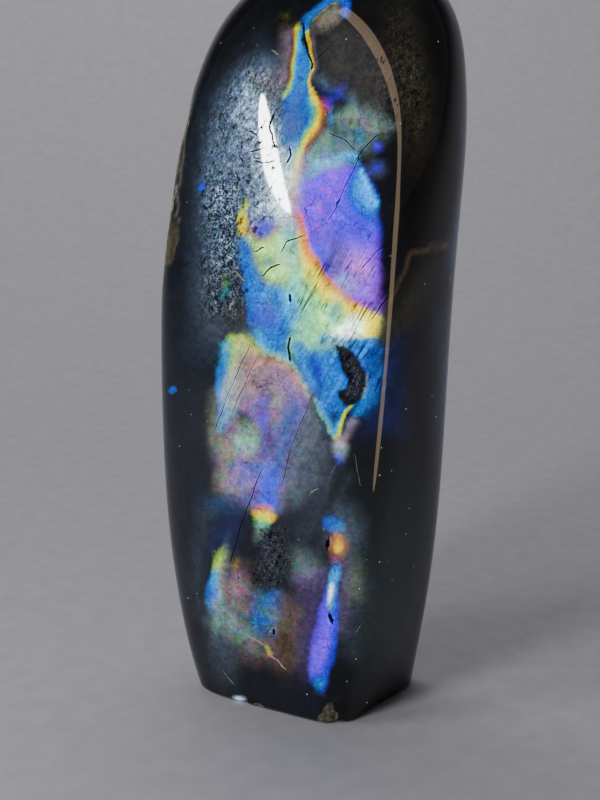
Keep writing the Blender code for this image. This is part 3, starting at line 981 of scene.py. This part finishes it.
PALE_SEAMS = {
    "amber seam": (0.8, ((246, 634), (258, 641), (267, 647), (268, 655), (277, 660), (283, 668))),
    # Painted highlight along the lit lip of the slit over the meadow
    "painted highlight on the slit's lip": (0.7, ((285, 252), (294, 246), (302, 236))),
    "white fleck": (1.0, ((237, 273), (242, 279))),
    "white scratch": (0.6, ((312, 493), (316, 490))),
    "small scratch": (0.18, ((330, 478), (336, 466))),
    "line in the dark": (0.18, ((355, 457), (360, 484))),
    "glint in the dark": (0.25, ((357, 632), (361, 625))),
    "white star": (0.8, ((275, 51), (276, 53))),
    "seam at the foot": (0.22, ((224, 672), (234, 684))),
}

# Places that aren't polished, as runs of balls: compass angle from -Y towards +X, and height and radius in
# millimetres
ROUGH_PLACES = {
    "rind on the left": ((-93, 113, 2.4), (-98, 107, 4.6), (-99, 98, 6.4), (-97, 90, 5.2), (-94, 85, 2.5)),
    "hollow in the back": ((170, 66, 4.0), (156, 54, 7.0), (146, 41, 6.0), (150, 33, 3.5)),
    "chipped base corner": ((13.5, 0.3, 2.0), (13.8, 2.4, 1.5), (14, 4.6, 1.0)),
    "chip on the base's edge": ((-50, 0.3, 1.0),),
}


def read_vectors(items, name):
    values = np.empty(len(items) * 3, np.float32)
    items.foreach_get(name, values)
    return values.reshape(-1, 3).astype(float)


def write_vectors(mesh, name, values):
    layer = mesh.attributes.new(name, "FLOAT_VECTOR", "POINT")
    layer.data.foreach_set("vector", values.astype(np.float32).ravel())


def picture_places(points, normals, turn):
    """Where the camera sees each point after walking round by turn, and how much of a stroke shows there."""
    stage = stage_settings()
    angle = math.radians(-turn)
    spin = np.array(Matrix.Rotation(angle, 3, "Z"))
    sight = points @ spin.T - np.array(stage.camera_place)
    tilt = stage.camera_tilt
    ahead = sight[:, 1] * math.cos(tilt) - sight[:, 2] * math.sin(tilt)
    above = sight[:, 1] * math.sin(tilt) + sight[:, 2] * math.cos(tilt)
    focal = stage.lens / SENSOR_WIDTH * PICTURE_HEIGHT
    across = PICTURE_WIDTH / 2 + focal * sight[:, 0] / ahead
    down = PICTURE_HEIGHT / 2 - focal * above / ahead
    facing = -np.sum(sight * (normals @ spin.T), axis=1) / np.linalg.norm(sight, axis=1)
    return across, down, smooth_share(facing, *FACING)


def wander(points, scale, reach):
    """A smooth drift in two directions for each point, up to about reach pixels."""
    noise.seed_set(WAVER_SEED)
    drift = [noise.noise_vector(Vector(point) * scale) for point in points / MM]
    return np.array(drift)[:, :2].T * reach


def paint_strokes(strokes, across, down, seen, flash, veil):
    """Lays strokes over the veil's colour and over the flash: its hue as a direction, and its light."""
    for stroke in strokes.values():
        cover = (stroke.cover(across, down) * seen)[:, None]
        if stroke.colour in FLASH_CIRCLE:
            turn = FLASH_CIRCLE[stroke.colour][0] * math.tau
            mark = np.array((math.cos(turn), math.sin(turn), 1.0)) * stroke.strength
            flash += (mark - flash) * cover
            veil *= 1.0 - cover
        else:
            cover = cover * stroke.strength
            flash *= 1.0 - cover
            veil += (np.array(VEIL_COLOURS[stroke.colour]) - veil) * cover


def paint_mask(strokes, across, down, seen):
    """How strongly the strokes mark each place, from 0 to 1."""
    mask = np.zeros(len(across))
    for stroke in strokes.values():
        mask = np.maximum(mask, stroke.cover(across, down) * stroke.strength * seen)
    return mask


def line_fields(lines, across, down, seen, extra):
    """For each place, its signed distance to the nearest line in half widths, its distance, and extra."""
    side = np.full(len(across), FAR)
    reach = np.full(len(across), FAR)
    for half_width, places in lines.values():
        for start, stop in zip(places, places[1:]):
            away = np.where(seen > 0.0, run_distance(across, down, start, stop), FAR)
            run_x, run_y = stop[0] - start[0], stop[1] - start[1]
            offset = (across - start[0]) * run_y - (down - start[1]) * run_x
            nearer = away < reach - LEAST
            side = np.where(nearer, np.copysign(away, offset) / half_width, side)
            reach = np.where(nearer, away, reach)
    return np.stack((side, reach, extra), axis=1)


def on_skin(angle, height):
    """The place on the solid at a compass angle, counted from -Y towards +X, and a height in millimetres."""
    way = Vector((math.sin(math.radians(angle)), -math.cos(math.radians(angle)), 0))
    start = way * OUTSIDE + Vector((0, 0, height * MM))
    hit, place, _, _ = frame["nodes"][NODE].ray_cast(start, -way)
    if not hit:
        raise RuntimeError(f"no skin at angle {angle}, height {height}")
    return place


def rough_mask(points, ragged):
    """Where the stone isn't polished, from 0 to 1. Ragged moves the edges of the rough places."""
    mask = (points[:, 2] < SAWN_HEIGHT).astype(float)
    for places in ROUGH_PLACES.values():
        for first, second in zip(places, places[1:] or places):
            for share in np.linspace(0.0, 1.0, ROUGH_BALLS):
                angle, height, radius = np.array(first) * (1.0 - share) + np.array(second) * share
                away = np.linalg.norm(points - np.array(on_skin(angle, height)), axis=1) / MM / radius
                mask = np.maximum(mask, smooth_share(away + ragged, *ROUGH_EDGE))
    return mask


def paint_skin(piece):
    """Writes the colour play and the finishes to the skin's points."""
    mesh = piece.data
    points = read_vectors(mesh.vertices, "co")
    normals = read_vectors(mesh.vertices, "normal")
    drift = sum(wander(points, *waver) for waver in WAVERS)
    wide_drift = drift + wander(points, *SIDE_WAVER)
    flash = np.zeros((len(points), 3))
    veil = np.zeros((len(points), 3))
    for turn, strokes in SIDE_STROKES.items():
        across, down, seen = picture_places(points, normals, turn)
        paint_strokes(strokes, across + wide_drift[0], down + wide_drift[1], seen, flash, veil)
    across, down, seen = picture_places(points, normals, 0)
    paint_strokes(FRONT_STROKES, across + drift[0], down + drift[1], seen, flash, veil)
    pepper, stria, mosaic = (
        paint_mask(strokes, across, down, seen) for strokes in (PEPPER_STROKES, STRIA_STROKES, MOSAIC_STROKES)
    )
    rough = rough_mask(points, wander(points, *ROUGH_WAVER)[0])
    write_vectors(mesh, "flash", flash)
    write_vectors(mesh, "veil", veil / GLOW)
    across, down = np.array((across, down)) + drift * LINE_WAVER
    write_vectors(mesh, "cracks", line_fields(DARK_CRACKS, across, down, seen, mosaic))
    write_vectors(mesh, "seams", line_fields(PALE_SEAMS, across, down, seen, mosaic))
    write_vectors(mesh, "finish", np.stack((pepper, stria, rough), axis=1))


# Shader building


def add_node(tree, kind, inputs=None, **settings):
    """Adds a node, sets its properties, and fills its inputs with values or links."""
    node = tree.nodes.new(kind)
    for name, value in settings.items():
        setattr(node, name, value)
    for socket, value in (inputs or {}).items():
        fill_socket(tree, node.inputs[socket], value)
    return node


def fill_socket(tree, socket, value):
    if isinstance(value, bpy.types.NodeSocket):
        tree.links.new(value, socket)
    else:
        socket.default_value = value


def maths(tree, operation, *values):
    return add_node(tree, "ShaderNodeMath", dict(enumerate(values)), operation=operation).outputs[0]


def product(tree, *factors):
    """The product of two or more values."""
    result = factors[0]
    for factor in factors[1:]:
        result = maths(tree, "MULTIPLY", result, factor)
    return result


def centred(tree, texture):
    """A texture whose middle is 0.5, moved so that its middle is 0."""
    return maths(tree, "SUBTRACT", texture, 0.5)


def drifted(tree, value, texture, reach):
    """A value pushed up or down by a texture whose middle is 0.5."""
    return maths(tree, "MULTIPLY_ADD", centred(tree, texture), reach, value)


def gain(tree, share, name):
    """What to multiply light by for an effect: 1 where its share is 0."""
    return maths(tree, "MULTIPLY_ADD", share, GAINS[name], 1.0)


def without(tree, share):
    """What a share leaves over of 1."""
    return maths(tree, "SUBTRACT", 1.0, share)


def vector_maths(tree, operation, *values):
    node = add_node(tree, "ShaderNodeVectorMath", dict(enumerate(values)), operation=operation)
    return node.outputs["Vector"]


def scaled(tree, vector, *factors):
    """A vector multiplied by each factor in turn."""
    for factor in factors:
        node = add_node(tree, "ShaderNodeVectorMath", {0: vector, "Scale": factor}, operation="SCALE")
        vector = node.outputs["Vector"]
    return vector


def ranged(tree, value, name, smooth=True):
    """Maps a value as one of the ranges says, eased at both ends or straight."""
    low, high, to_low, to_high = (*RANGES[name], 0.0, 1.0)[:4]
    inputs = {"Value": value, "From Min": low, "From Max": high, "To Min": to_low, "To Max": to_high}
    kind = "SMOOTHSTEP" if smooth else "LINEAR"
    return add_node(tree, "ShaderNodeMapRange", inputs, interpolation_type=kind).outputs["Result"]


def mix_colours(tree, share, first, second):
    node = add_node(tree, "ShaderNodeMix", data_type="RGBA", clamp_factor=True)
    for socket, value in ((node.inputs[0], share), (node.inputs[6], first), (node.inputs[7], second)):
        fill_socket(tree, socket, value)
    return node.outputs[2]


def noise_texture(tree, vector, name, output="Fac"):
    scale, detail, roughness = NOISES[name]
    inputs = {"Vector": vector, "Scale": scale, "Detail": detail, "Roughness": roughness}
    return add_node(tree, "ShaderNodeTexNoise", inputs).outputs[output]


def cell_texture(tree, vector, scale):
    """Round cells: the distance to each one's middle, and a random number for each cell."""
    cells = add_node(tree, "ShaderNodeTexVoronoi", {"Vector": vector, "Scale": scale}).outputs
    parts = add_node(tree, "ShaderNodeSeparateColor", {"Color": cells["Color"]}).outputs
    return cells["Distance"], parts


def attribute(tree, name):
    """The whole of an attribute of the mesh, and its three parts."""
    whole = add_node(tree, "ShaderNodeAttribute", attribute_name=name).outputs["Vector"]
    parts = add_node(tree, "ShaderNodeSeparateXYZ", {"Vector": whole}).outputs
    return whole, parts["X"], parts["Y"], parts["Z"]


def flash_colour_group():
    """The colour that a turn of the lamella spacing flashes in."""
    group = bpy.data.node_groups.new("flash colour", "ShaderNodeTree")
    group.interface.new_socket(name="Turn", in_out="INPUT", socket_type="NodeSocketFloat")
    group.interface.new_socket(name="Colour", in_out="OUTPUT", socket_type="NodeSocketColor")
    start = group.nodes.new("NodeGroupInput")
    end = group.nodes.new("NodeGroupOutput")
    ramp = add_node(group, "ShaderNodeValToRGB", {"Fac": maths(group, "FRACT", start.outputs["Turn"])})
    stops = ramp.color_ramp.elements
    circle = list(FLASH_CIRCLE.values())
    circle.append((1.0, circle[0][1]))
    while len(stops) < len(circle):
        stops.new(1.0)
    for stop, (place, colour) in zip(stops, circle):
        stop.position = place
        stop.color = (*colour, 1.0)
    group.links.new(ramp.outputs["Color"], end.inputs["Colour"])
    return group


def stria_lines(tree, place):
    """Fine dark lines that rise to the right, where twin planes cut the face, their bands, and flakes."""
    lean = {"Vector": place, "Rotation": (0, math.radians(-STRIA_LEAN), 0)}
    turned = add_node(tree, "ShaderNodeMapping", lean, vector_type="POINT").outputs["Vector"]
    bands = noise_texture(tree, vector_maths(tree, "MULTIPLY", turned, STRIA_STRETCH), "twin planes")
    flakes = noise_texture(tree, vector_maths(tree, "MULTIPLY", turned, FLAKE_STRETCH), "flakes")
    first = ranged(tree, maths(tree, "ABSOLUTE", centred(tree, bands)), "twin planes")
    from_second = maths(tree, "ABSOLUTE", maths(tree, "SUBTRACT", bands, SECOND_PLANES))
    planes = maths(tree, "MAXIMUM", first, ranged(tree, from_second, "second planes"))
    breaks = ranged(tree, noise_texture(tree, place, "breaks in the planes"), "breaks in the planes")
    return product(tree, planes, breaks), bands, flakes


def hair_cracks(tree, place):
    """A sparse net of hair cracks, from 0 to 1."""
    bends = noise_texture(tree, place, "bends of the hair cracks", output="Color")
    cells = {"Vector": vector_maths(tree, "MULTIPLY_ADD", bends, CRACK_BEND, place), "Scale": CRACK_CELLS}
    edges = add_node(tree, "ShaderNodeTexVoronoi", cells, feature="DISTANCE_TO_EDGE").outputs["Distance"]
    thin = ranged(tree, edges, "hair cracks")
    stretches = noise_texture(tree, place, "stretches of hair cracks")
    return product(tree, thin, ranged(tree, stretches, "stretches of hair cracks"))


def bright_specks(tree, place):
    """Lone bright grains, from 0 to 1."""
    away, chance = cell_texture(tree, place, SPECK_CELLS)
    return product(tree, ranged(tree, away, "specks"), ranged(tree, chance["Green"], "chosen specks"))


def ragged_line(tree, name, grain):
    """How far to the side of the nearest painted line each place is, and if it is near it, from 0 to 1."""
    _, side, reach, _ = attribute(tree, name)
    ragged = product(tree, centred(tree, grain), RAGGED_SIDE)
    away = maths(tree, "ABSOLUTE", maths(tree, "ADD", side, ragged))
    return away, ranged(tree, reach, "near a line")


def add_cracks(tree, glow, grain):
    """Draws dark cracks with painted highlights on their lips, and pale seams, over the glow. Returns cracks
    too.
    """
    away, near = ragged_line(tree, "cracks", grain)
    dark = product(tree, ranged(tree, away, "line"), near)
    # the lips: a painted highlight in a band just beside each crack
    lip = product(tree, ranged(tree, away, "lip's inner side"), ranged(tree, away, "lip's outer side"), near)
    glow = scaled(tree, glow, gain(tree, lip, "painted highlights on the cracks' lips"), without(tree, dark))
    away, near = ragged_line(tree, "seams", grain)
    gaps = ranged(tree, grain, "gaps in the seams")
    seam = product(tree, ranged(tree, away, "line"), near, gaps, SEAM_SHARE)
    return mix_colours(tree, seam, glow, SEAM_COLOUR), dark


def flash_light(tree, place, noises, banding, mosaic):
    """The flash's colour, a little off from place to place, and its light, patchy where it fades."""
    _, across, up, light = attribute(tree, "flash")
    turn = maths(tree, "DIVIDE", maths(tree, "ARCTAN2", up, across), math.tau)
    for name, reach in HUE_DRIFTS.items():
        turn = drifted(tree, turn, noises[name], reach)
    turn = maths(tree, "MULTIPLY_ADD", banding, BANDED_HUE, turn)
    turn = drifted(tree, turn, noises["mottle"], product(tree, mosaic, MOSAIC_HUE))
    hue = add_node(tree, "ShaderNodeGroup", node_tree=flash_colour_group())
    tree.links.new(maths(tree, "ADD", turn, 1.0), hue.inputs["Turn"])
    pure = maths(tree, "SQRT", maths(tree, "MULTIPLY_ADD", up, up, product(tree, across, across)))
    pure = ranged(tree, maths(tree, "DIVIDE", pure, maths(tree, "MAXIMUM", light, LEAST_LIGHT)), "pure hue")
    colour = mix_colours(tree, pure, MIXED_FLASH, hue.outputs["Colour"])
    bright = product(
        tree,
        ranged(tree, noises["clouds"], "clouds in the flash", smooth=False),
        ranged(tree, noises["grain"], "grain in the flash", smooth=False),
        gain(tree, banding, "banding in the flash"),
        ranged(tree, drifted(tree, light, noises["mottle"], LIGHT_DRIFT), "fading flash"),
        light,
    )
    return scaled(tree, colour, bright)


def sheen_light(tree, noises, banding, pepper, frosting):
    """The sheen between the flashes, with silver and black grains where it is peppered."""
    veil, _, _, _ = attribute(tree, "veil")
    salt = ranged(tree, noises["speckle"], "salt")
    salt = product(tree, salt, ranged(tree, noises["mottle"], "patches of salt"))
    soft = ranged(tree, noises["mottle"], "mottled sheen", smooth=False)
    soft = product(tree, soft, ranged(tree, noises["speckle"], "speckled sheen", smooth=False))
    dust = add_node(tree, "ShaderNodeMix", {0: pepper, 2: soft, 3: salt}, data_type="FLOAT").outputs[0]
    banded = gain(tree, banding, "banding in the sheen")
    return scaled(tree, veil, product(tree, dust, banded, gain(tree, frosting, "frosting")))


def stray_hues(tree, place, mosaic):
    """A tint that strays from place to place, and further in the mosaic."""
    spread = maths(tree, "MULTIPLY_ADD", mosaic, MOSAIC_SPREAD, HUE_SPREAD)
    hues = vector_maths(tree, "SUBTRACT", noise_texture(tree, place, "hues", output="Color"), (0.5,) * 3)
    hues = vector_maths(tree, "ADD", scaled(tree, hues, spread), (1.0,) * 3)
    return vector_maths(tree, "MAXIMUM", hues, LEAST_CHANNEL)


def labradorite_material():
    settings = stone_settings()
    material = bpy.data.materials.new("polished_labradorite")
    material.use_nodes = True
    tree = material.node_tree
    shader = tree.nodes["Principled BSDF"]

    metres = add_node(tree, "ShaderNodeTexCoord").outputs["Object"]
    place = scaled(tree, metres, 1 / MM)
    noises = {name: noise_texture(tree, place, name) for name in ("grain", "mottle", "clouds", "speckle")}
    noises["cells"] = cell_texture(tree, place, MOSAIC_CELLS)[1]["Red"]
    _, pepper, stria, rough = attribute(tree, "finish")
    _, _, _, mosaic = attribute(tree, "cracks")
    lines, bands, flakes = stria_lines(tree, place)
    banding = product(tree, centred(tree, bands), stria)
    flaked = ranged(tree, pepper, "peppered")
    chips = product(tree, ranged(tree, flakes, "chips"), flaked)
    frosting = product(tree, ranged(tree, flakes, "frosting"), flaked)

    # the painted glow that comes out of the stone, whatever the lamps do
    glow = flash_light(tree, place, noises, banding, mosaic)
    glow = vector_maths(tree, "ADD", glow, sheen_light(tree, noises, banding, pepper, frosting))
    glow = vector_maths(tree, "MULTIPLY", glow, stray_hues(tree, place, mosaic))
    glow = scaled(
        tree,
        glow,
        gain(tree, product(tree, lines, stria), "twin planes"),
        gain(tree, hair_cracks(tree, place), "hair cracks"),
        gain(tree, chips, "chips"),
    )
    glow, cracked = add_cracks(tree, glow, noises["grain"])
    glow = vector_maths(tree, "ADD", glow, scaled(tree, SPECK_LIGHT, bright_specks(tree, place)))
    glow = scaled(tree, glow, without(tree, rough), settings.flash)
    tree.links.new(glow, shader.inputs["Emission Color"])
    shader.inputs["Emission Strength"].default_value = GLOW

    # the feldspar's own colour, and the raw rind's
    pale = ranged(tree, noises["mottle"], "pale rind")
    rind = mix_colours(tree, pale, tuple(settings.rind_colour), PALE_RIND)
    clouds = ranged(tree, noises["clouds"], "clouds in the body")
    body = mix_colours(tree, clouds, tuple(settings.body_colour), BODY_CLOUDS)
    broken = ranged(tree, drifted(tree, rough, noises["grain"], ROUGH_DRIFT), "broken skin")
    tree.links.new(mix_colours(tree, broken, body, rind), shader.inputs["Base Color"])

    # the polish, which broken skin, chips and cracks go without, and the broken skin's relief
    dull = maths(tree, "MAXIMUM", broken, product(tree, ranged(tree, flakes, "dull chips"), flaked))
    dull = maths(tree, "MAXIMUM", dull, cracked)
    tree.links.new(without(tree, dull), shader.inputs["Coat Weight"])
    relief = product(tree, maths(tree, "ADD", noises["mottle"], noises["clouds"]), broken)
    bump = {"Height": relief, "Strength": RELIEF_STRENGTH, "Distance": RELIEF_HEIGHT}
    tree.links.new(add_node(tree, "ShaderNodeBump", bump).outputs["Normal"], shader.inputs["Normal"])
    shader.inputs["Roughness"].default_value = BODY_ROUGHNESS
    shader.inputs["Specular IOR Level"].default_value = BODY_SPECULAR
    shader.inputs["IOR"].default_value = FELDSPAR_IOR
    shader.inputs["Coat Roughness"].default_value = settings.polish
    shader.inputs["Coat IOR"].default_value = POLISH_IOR
    return material


def matt_material(name, colour, roughness):
    material = bpy.data.materials.new(name)
    material.use_nodes = True
    tree = material.node_tree
    shader = tree.nodes["Principled BSDF"]
    place = add_node(tree, "ShaderNodeTexCoord").outputs["Object"]
    shade = ranged(tree, noise_texture(tree, place, "floor specks"), "floor specks")
    tree.links.new(scaled(tree, tuple(colour)[:3], shade), shader.inputs["Base Color"])
    shader.inputs["Roughness"].default_value = roughness
    shader.inputs["Specular IOR Level"].default_value = 0.0
    return material


# The stone


def copy_of_node(name, piece_name):
    """A copy of a CAD node's solid with its doubled points merged, ready to be worked on."""
    bpy.ops.object.select_all(action="DESELECT")
    node = frame["nodes"][name]
    node.select_set(True)
    bpy.context.view_layer.objects.active = node
    bpy.ops.object.duplicate()
    piece = bpy.context.view_layer.objects.active
    bpy.ops.object.parent_clear(type="CLEAR_KEEP_TRANSFORM")
    piece.name = piece_name
    piece.data.name = piece_name
    for key in [key for key in piece.keys() if key.startswith("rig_")]:
        del piece[key]
    bpy.ops.object.mode_set(mode="EDIT")
    bpy.ops.mesh.select_all(action="SELECT")
    bpy.ops.mesh.remove_doubles(threshold=MERGE_REACH)
    bpy.ops.mesh.tris_convert_to_quads(face_threshold=QUAD_ANGLE, shape_threshold=QUAD_ANGLE)
    bpy.ops.object.mode_set(mode="OBJECT")
    return piece


def crease_base(piece):
    """Creases the sawn base's edges, so that subdivision keeps them."""
    mesh = piece.data
    crease = mesh.attributes.new("crease_edge", "FLOAT", "EDGE")
    for edge in mesh.edges:
        start, stop = (mesh.vertices[index].co.z for index in edge.vertices)
        if max(start, stop) < BASE_TOP and abs(start - stop) < LEVEL:
            crease.data[edge.index].value = BASE_CREASE


class LABRADORITE_OT_make_stone(bpy.types.Operator):
    """Makes the polished stone over its solid"""

    bl_idname = "labradorite.make_stone"
    bl_label = "Make the stone"

    def execute(self, context):
        piece = copy_of_node(NODE, "polished_stone")
        crease_base(piece)
        smooth = piece.modifiers.new("Smooth skin", "SUBSURF")
        smooth.levels = SKIN_LEVELS
        smooth.render_levels = SKIN_LEVELS
        bpy.ops.object.modifier_apply(modifier=smooth.name)
        paint_skin(piece)
        piece.data.materials.clear()
        piece.data.materials.append(labradorite_material())
        bpy.ops.object.shade_smooth_by_angle(angle=SHARP_ANGLE)
        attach(piece, "root")
        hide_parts(NODE)
        return {"FINISHED"}


# The stage


def add_area_light(name, place, target, width, height, power):
    """A broad flat lamp that faces its target. It lights the scene, but the polish doesn't mirror it."""
    bpy.ops.object.light_add(type="AREA", location=place)
    lamp = bpy.context.object
    lamp.name = name
    lamp.rotation_euler = (Vector(target) - Vector(place)).to_track_quat("-Z", "Y").to_euler()
    lamp.visible_glossy = False
    lamp.visible_camera = False
    lamp.data.shape = "RECTANGLE"
    lamp.data.size = width
    lamp.data.size_y = height
    lamp.data.energy = power


def add_strip_light(name, top, foot, target, width, power):
    """A narrow lamp between two places. It faces its target, and the polish mirrors it as a streak."""
    top, foot = Vector(top), Vector(foot)
    long_way = (foot - top).normalized()
    back = (top + foot) / 2 - Vector(target)
    back = (back - long_way * back.dot(long_way)).normalized()
    side = long_way.cross(back)
    bpy.ops.object.light_add(type="AREA", location=(top + foot) / 2)
    lamp = bpy.context.object
    lamp.name = name
    lamp.rotation_euler = Matrix((side, long_way, back)).transposed().to_euler()
    lamp.visible_camera = False
    lamp.data.shape = "ELLIPSE"
    lamp.data.size = width
    lamp.data.size_y = (foot - top).length
    lamp.data.energy = power
    lamp.data.color = WINDOW_COLOUR


def make_warm_tube(strength):
    """A bent tube that glows softly. The polish mirrors it as the long tan streak along the ridge."""
    curve = bpy.data.curves.new("warm_tube", "CURVE")
    curve.dimensions = "3D"
    curve.bevel_depth = MM
    curve.bevel_resolution = 3
    curve.use_fill_caps = True
    spline = curve.splines.new("NURBS")
    spline.points.add(len(WARM_TUBE) - 1)
    spline.use_endpoint_u = True
    spline.order_u = 3
    for point, (x, y, z, radius) in zip(spline.points, WARM_TUBE):
        point.co = (x * MM, y * MM, z * MM, 1.0)
        point.radius = radius
    tube = bpy.data.objects.new("warm_tube", curve)
    bpy.context.collection.objects.link(tube)
    tube.visible_camera = False
    tube.visible_shadow = False
    tube.visible_diffuse = False
    material = bpy.data.materials.new("warm_glow")
    material.use_nodes = True
    shader = material.node_tree.nodes["Principled BSDF"]
    shader.inputs["Base Color"].default_value = (0, 0, 0, 1)
    shader.inputs["Emission Color"].default_value = WARM_COLOUR
    shader.inputs["Emission Strength"].default_value = strength
    curve.materials.append(material)


def select_edges(mesh, wanted):
    """Goes into edit mode with those edges selected whose two ends are both wanted."""
    bpy.ops.object.mode_set(mode="EDIT")
    bpy.ops.mesh.select_mode(type="EDGE")
    bpy.ops.mesh.select_all(action="DESELECT")
    bpy.ops.object.mode_set(mode="OBJECT")
    for edge in mesh.edges:
        edge.select = all(wanted(mesh.vertices[index].co) for index in edge.vertices)
    bpy.ops.object.mode_set(mode="EDIT")


def make_floor(colour):
    """A floor that sweeps up into a wall behind the stone."""
    bpy.ops.object.select_all(action="DESELECT")
    bpy.ops.mesh.primitive_plane_add(size=FLOOR_WIDTH, location=(0, -FLOOR_FORWARD, 0))
    floor = bpy.context.object
    floor.name = "floor"
    back = FLOOR_WIDTH / 2 - FLOOR_MARGIN
    select_edges(floor.data, lambda place: place.y > back)
    bpy.ops.mesh.extrude_region_move(TRANSFORM_OT_translate={"value": (0, 0, WALL_HEIGHT)})
    select_edges(floor.data, lambda place: place.y > back and place.z < FLOOR_MARGIN)
    bpy.ops.mesh.bevel(offset=SWEEP, segments=SWEEP_STEPS, affect="EDGES")
    bpy.ops.object.mode_set(mode="OBJECT")
    bpy.ops.object.transform_apply(location=True, rotation=True, scale=True)
    bpy.ops.object.shade_smooth()
    floor.data.materials.append(matt_material("studio_floor", colour, FLOOR_ROUGHNESS))


def make_camera(settings):
    bpy.ops.object.camera_add(location=settings.camera_place)
    camera = bpy.context.object
    camera.name = "camera"
    camera.rotation_euler = (math.radians(90) - settings.camera_tilt, 0, 0)
    camera.data.lens = settings.lens
    camera.data.sensor_width = SENSOR_WIDTH
    camera.data.clip_start = CLIP_START
    bpy.context.scene.camera = camera


def make_room(strength):
    world = bpy.data.worlds.new("soft_room")
    world.use_nodes = True
    background = world.node_tree.nodes["Background"]
    background.inputs["Color"].default_value = ROOM_COLOUR
    background.inputs["Strength"].default_value = strength
    bpy.context.scene.world = world


class LABRADORITE_OT_make_stage(bpy.types.Operator):
    """Makes the floor, the lights and the camera"""

    bl_idname = "labradorite.make_stage"
    bl_label = "Make the stage"

    def execute(self, context):
        settings = stage_settings()
        make_floor(settings.floor_colour)
        make_camera(settings)
        make_room(settings.room_light)
        add_area_light("wall_light", *WALL_LAMP, settings.wall_light)
        add_area_light("key_light", *KEY_LAMP, settings.key_light)
        add_strip_light("window_light", *WINDOW_LAMP, settings.window_light)
        make_warm_tube(settings.tube_light)
        return {"FINISHED"}


class LABRADORITE_PT_sidebar(bpy.types.Panel):
    bl_idname = "LABRADORITE_PT_sidebar"
    bl_label = "Labradorite"
    bl_space_type = "VIEW_3D"
    bl_region_type = "UI"
    bl_category = "Labradorite"

    def draw(self, context):
        layout = self.layout
        for settings, operator in (
            (context.scene.labradorite_stone, LABRADORITE_OT_make_stone),
            (context.scene.labradorite_stage, LABRADORITE_OT_make_stage),
        ):
            box = layout.box()
            for name in settings.__annotations__:
                box.prop(settings, name)
            box.operator(operator.bl_idname)


CLASSES = (
    StoneSettings,
    StageSettings,
    LABRADORITE_OT_make_stone,
    LABRADORITE_OT_make_stage,
    LABRADORITE_PT_sidebar,
)


def register():
    for cls in CLASSES:
        bpy.utils.register_class(cls)
    bpy.types.Scene.labradorite_stone = bpy.props.PointerProperty(type=StoneSettings)
    bpy.types.Scene.labradorite_stage = bpy.props.PointerProperty(type=StageSettings)


def unregister():
    del bpy.types.Scene.labradorite_stage
    del bpy.types.Scene.labradorite_stone
    for cls in reversed(CLASSES):
        bpy.utils.unregister_class(cls)


def main():
    register()
    bpy.ops.labradorite.make_stone()
    bpy.ops.labradorite.make_stage()


if __name__ == "__main__":
    main()
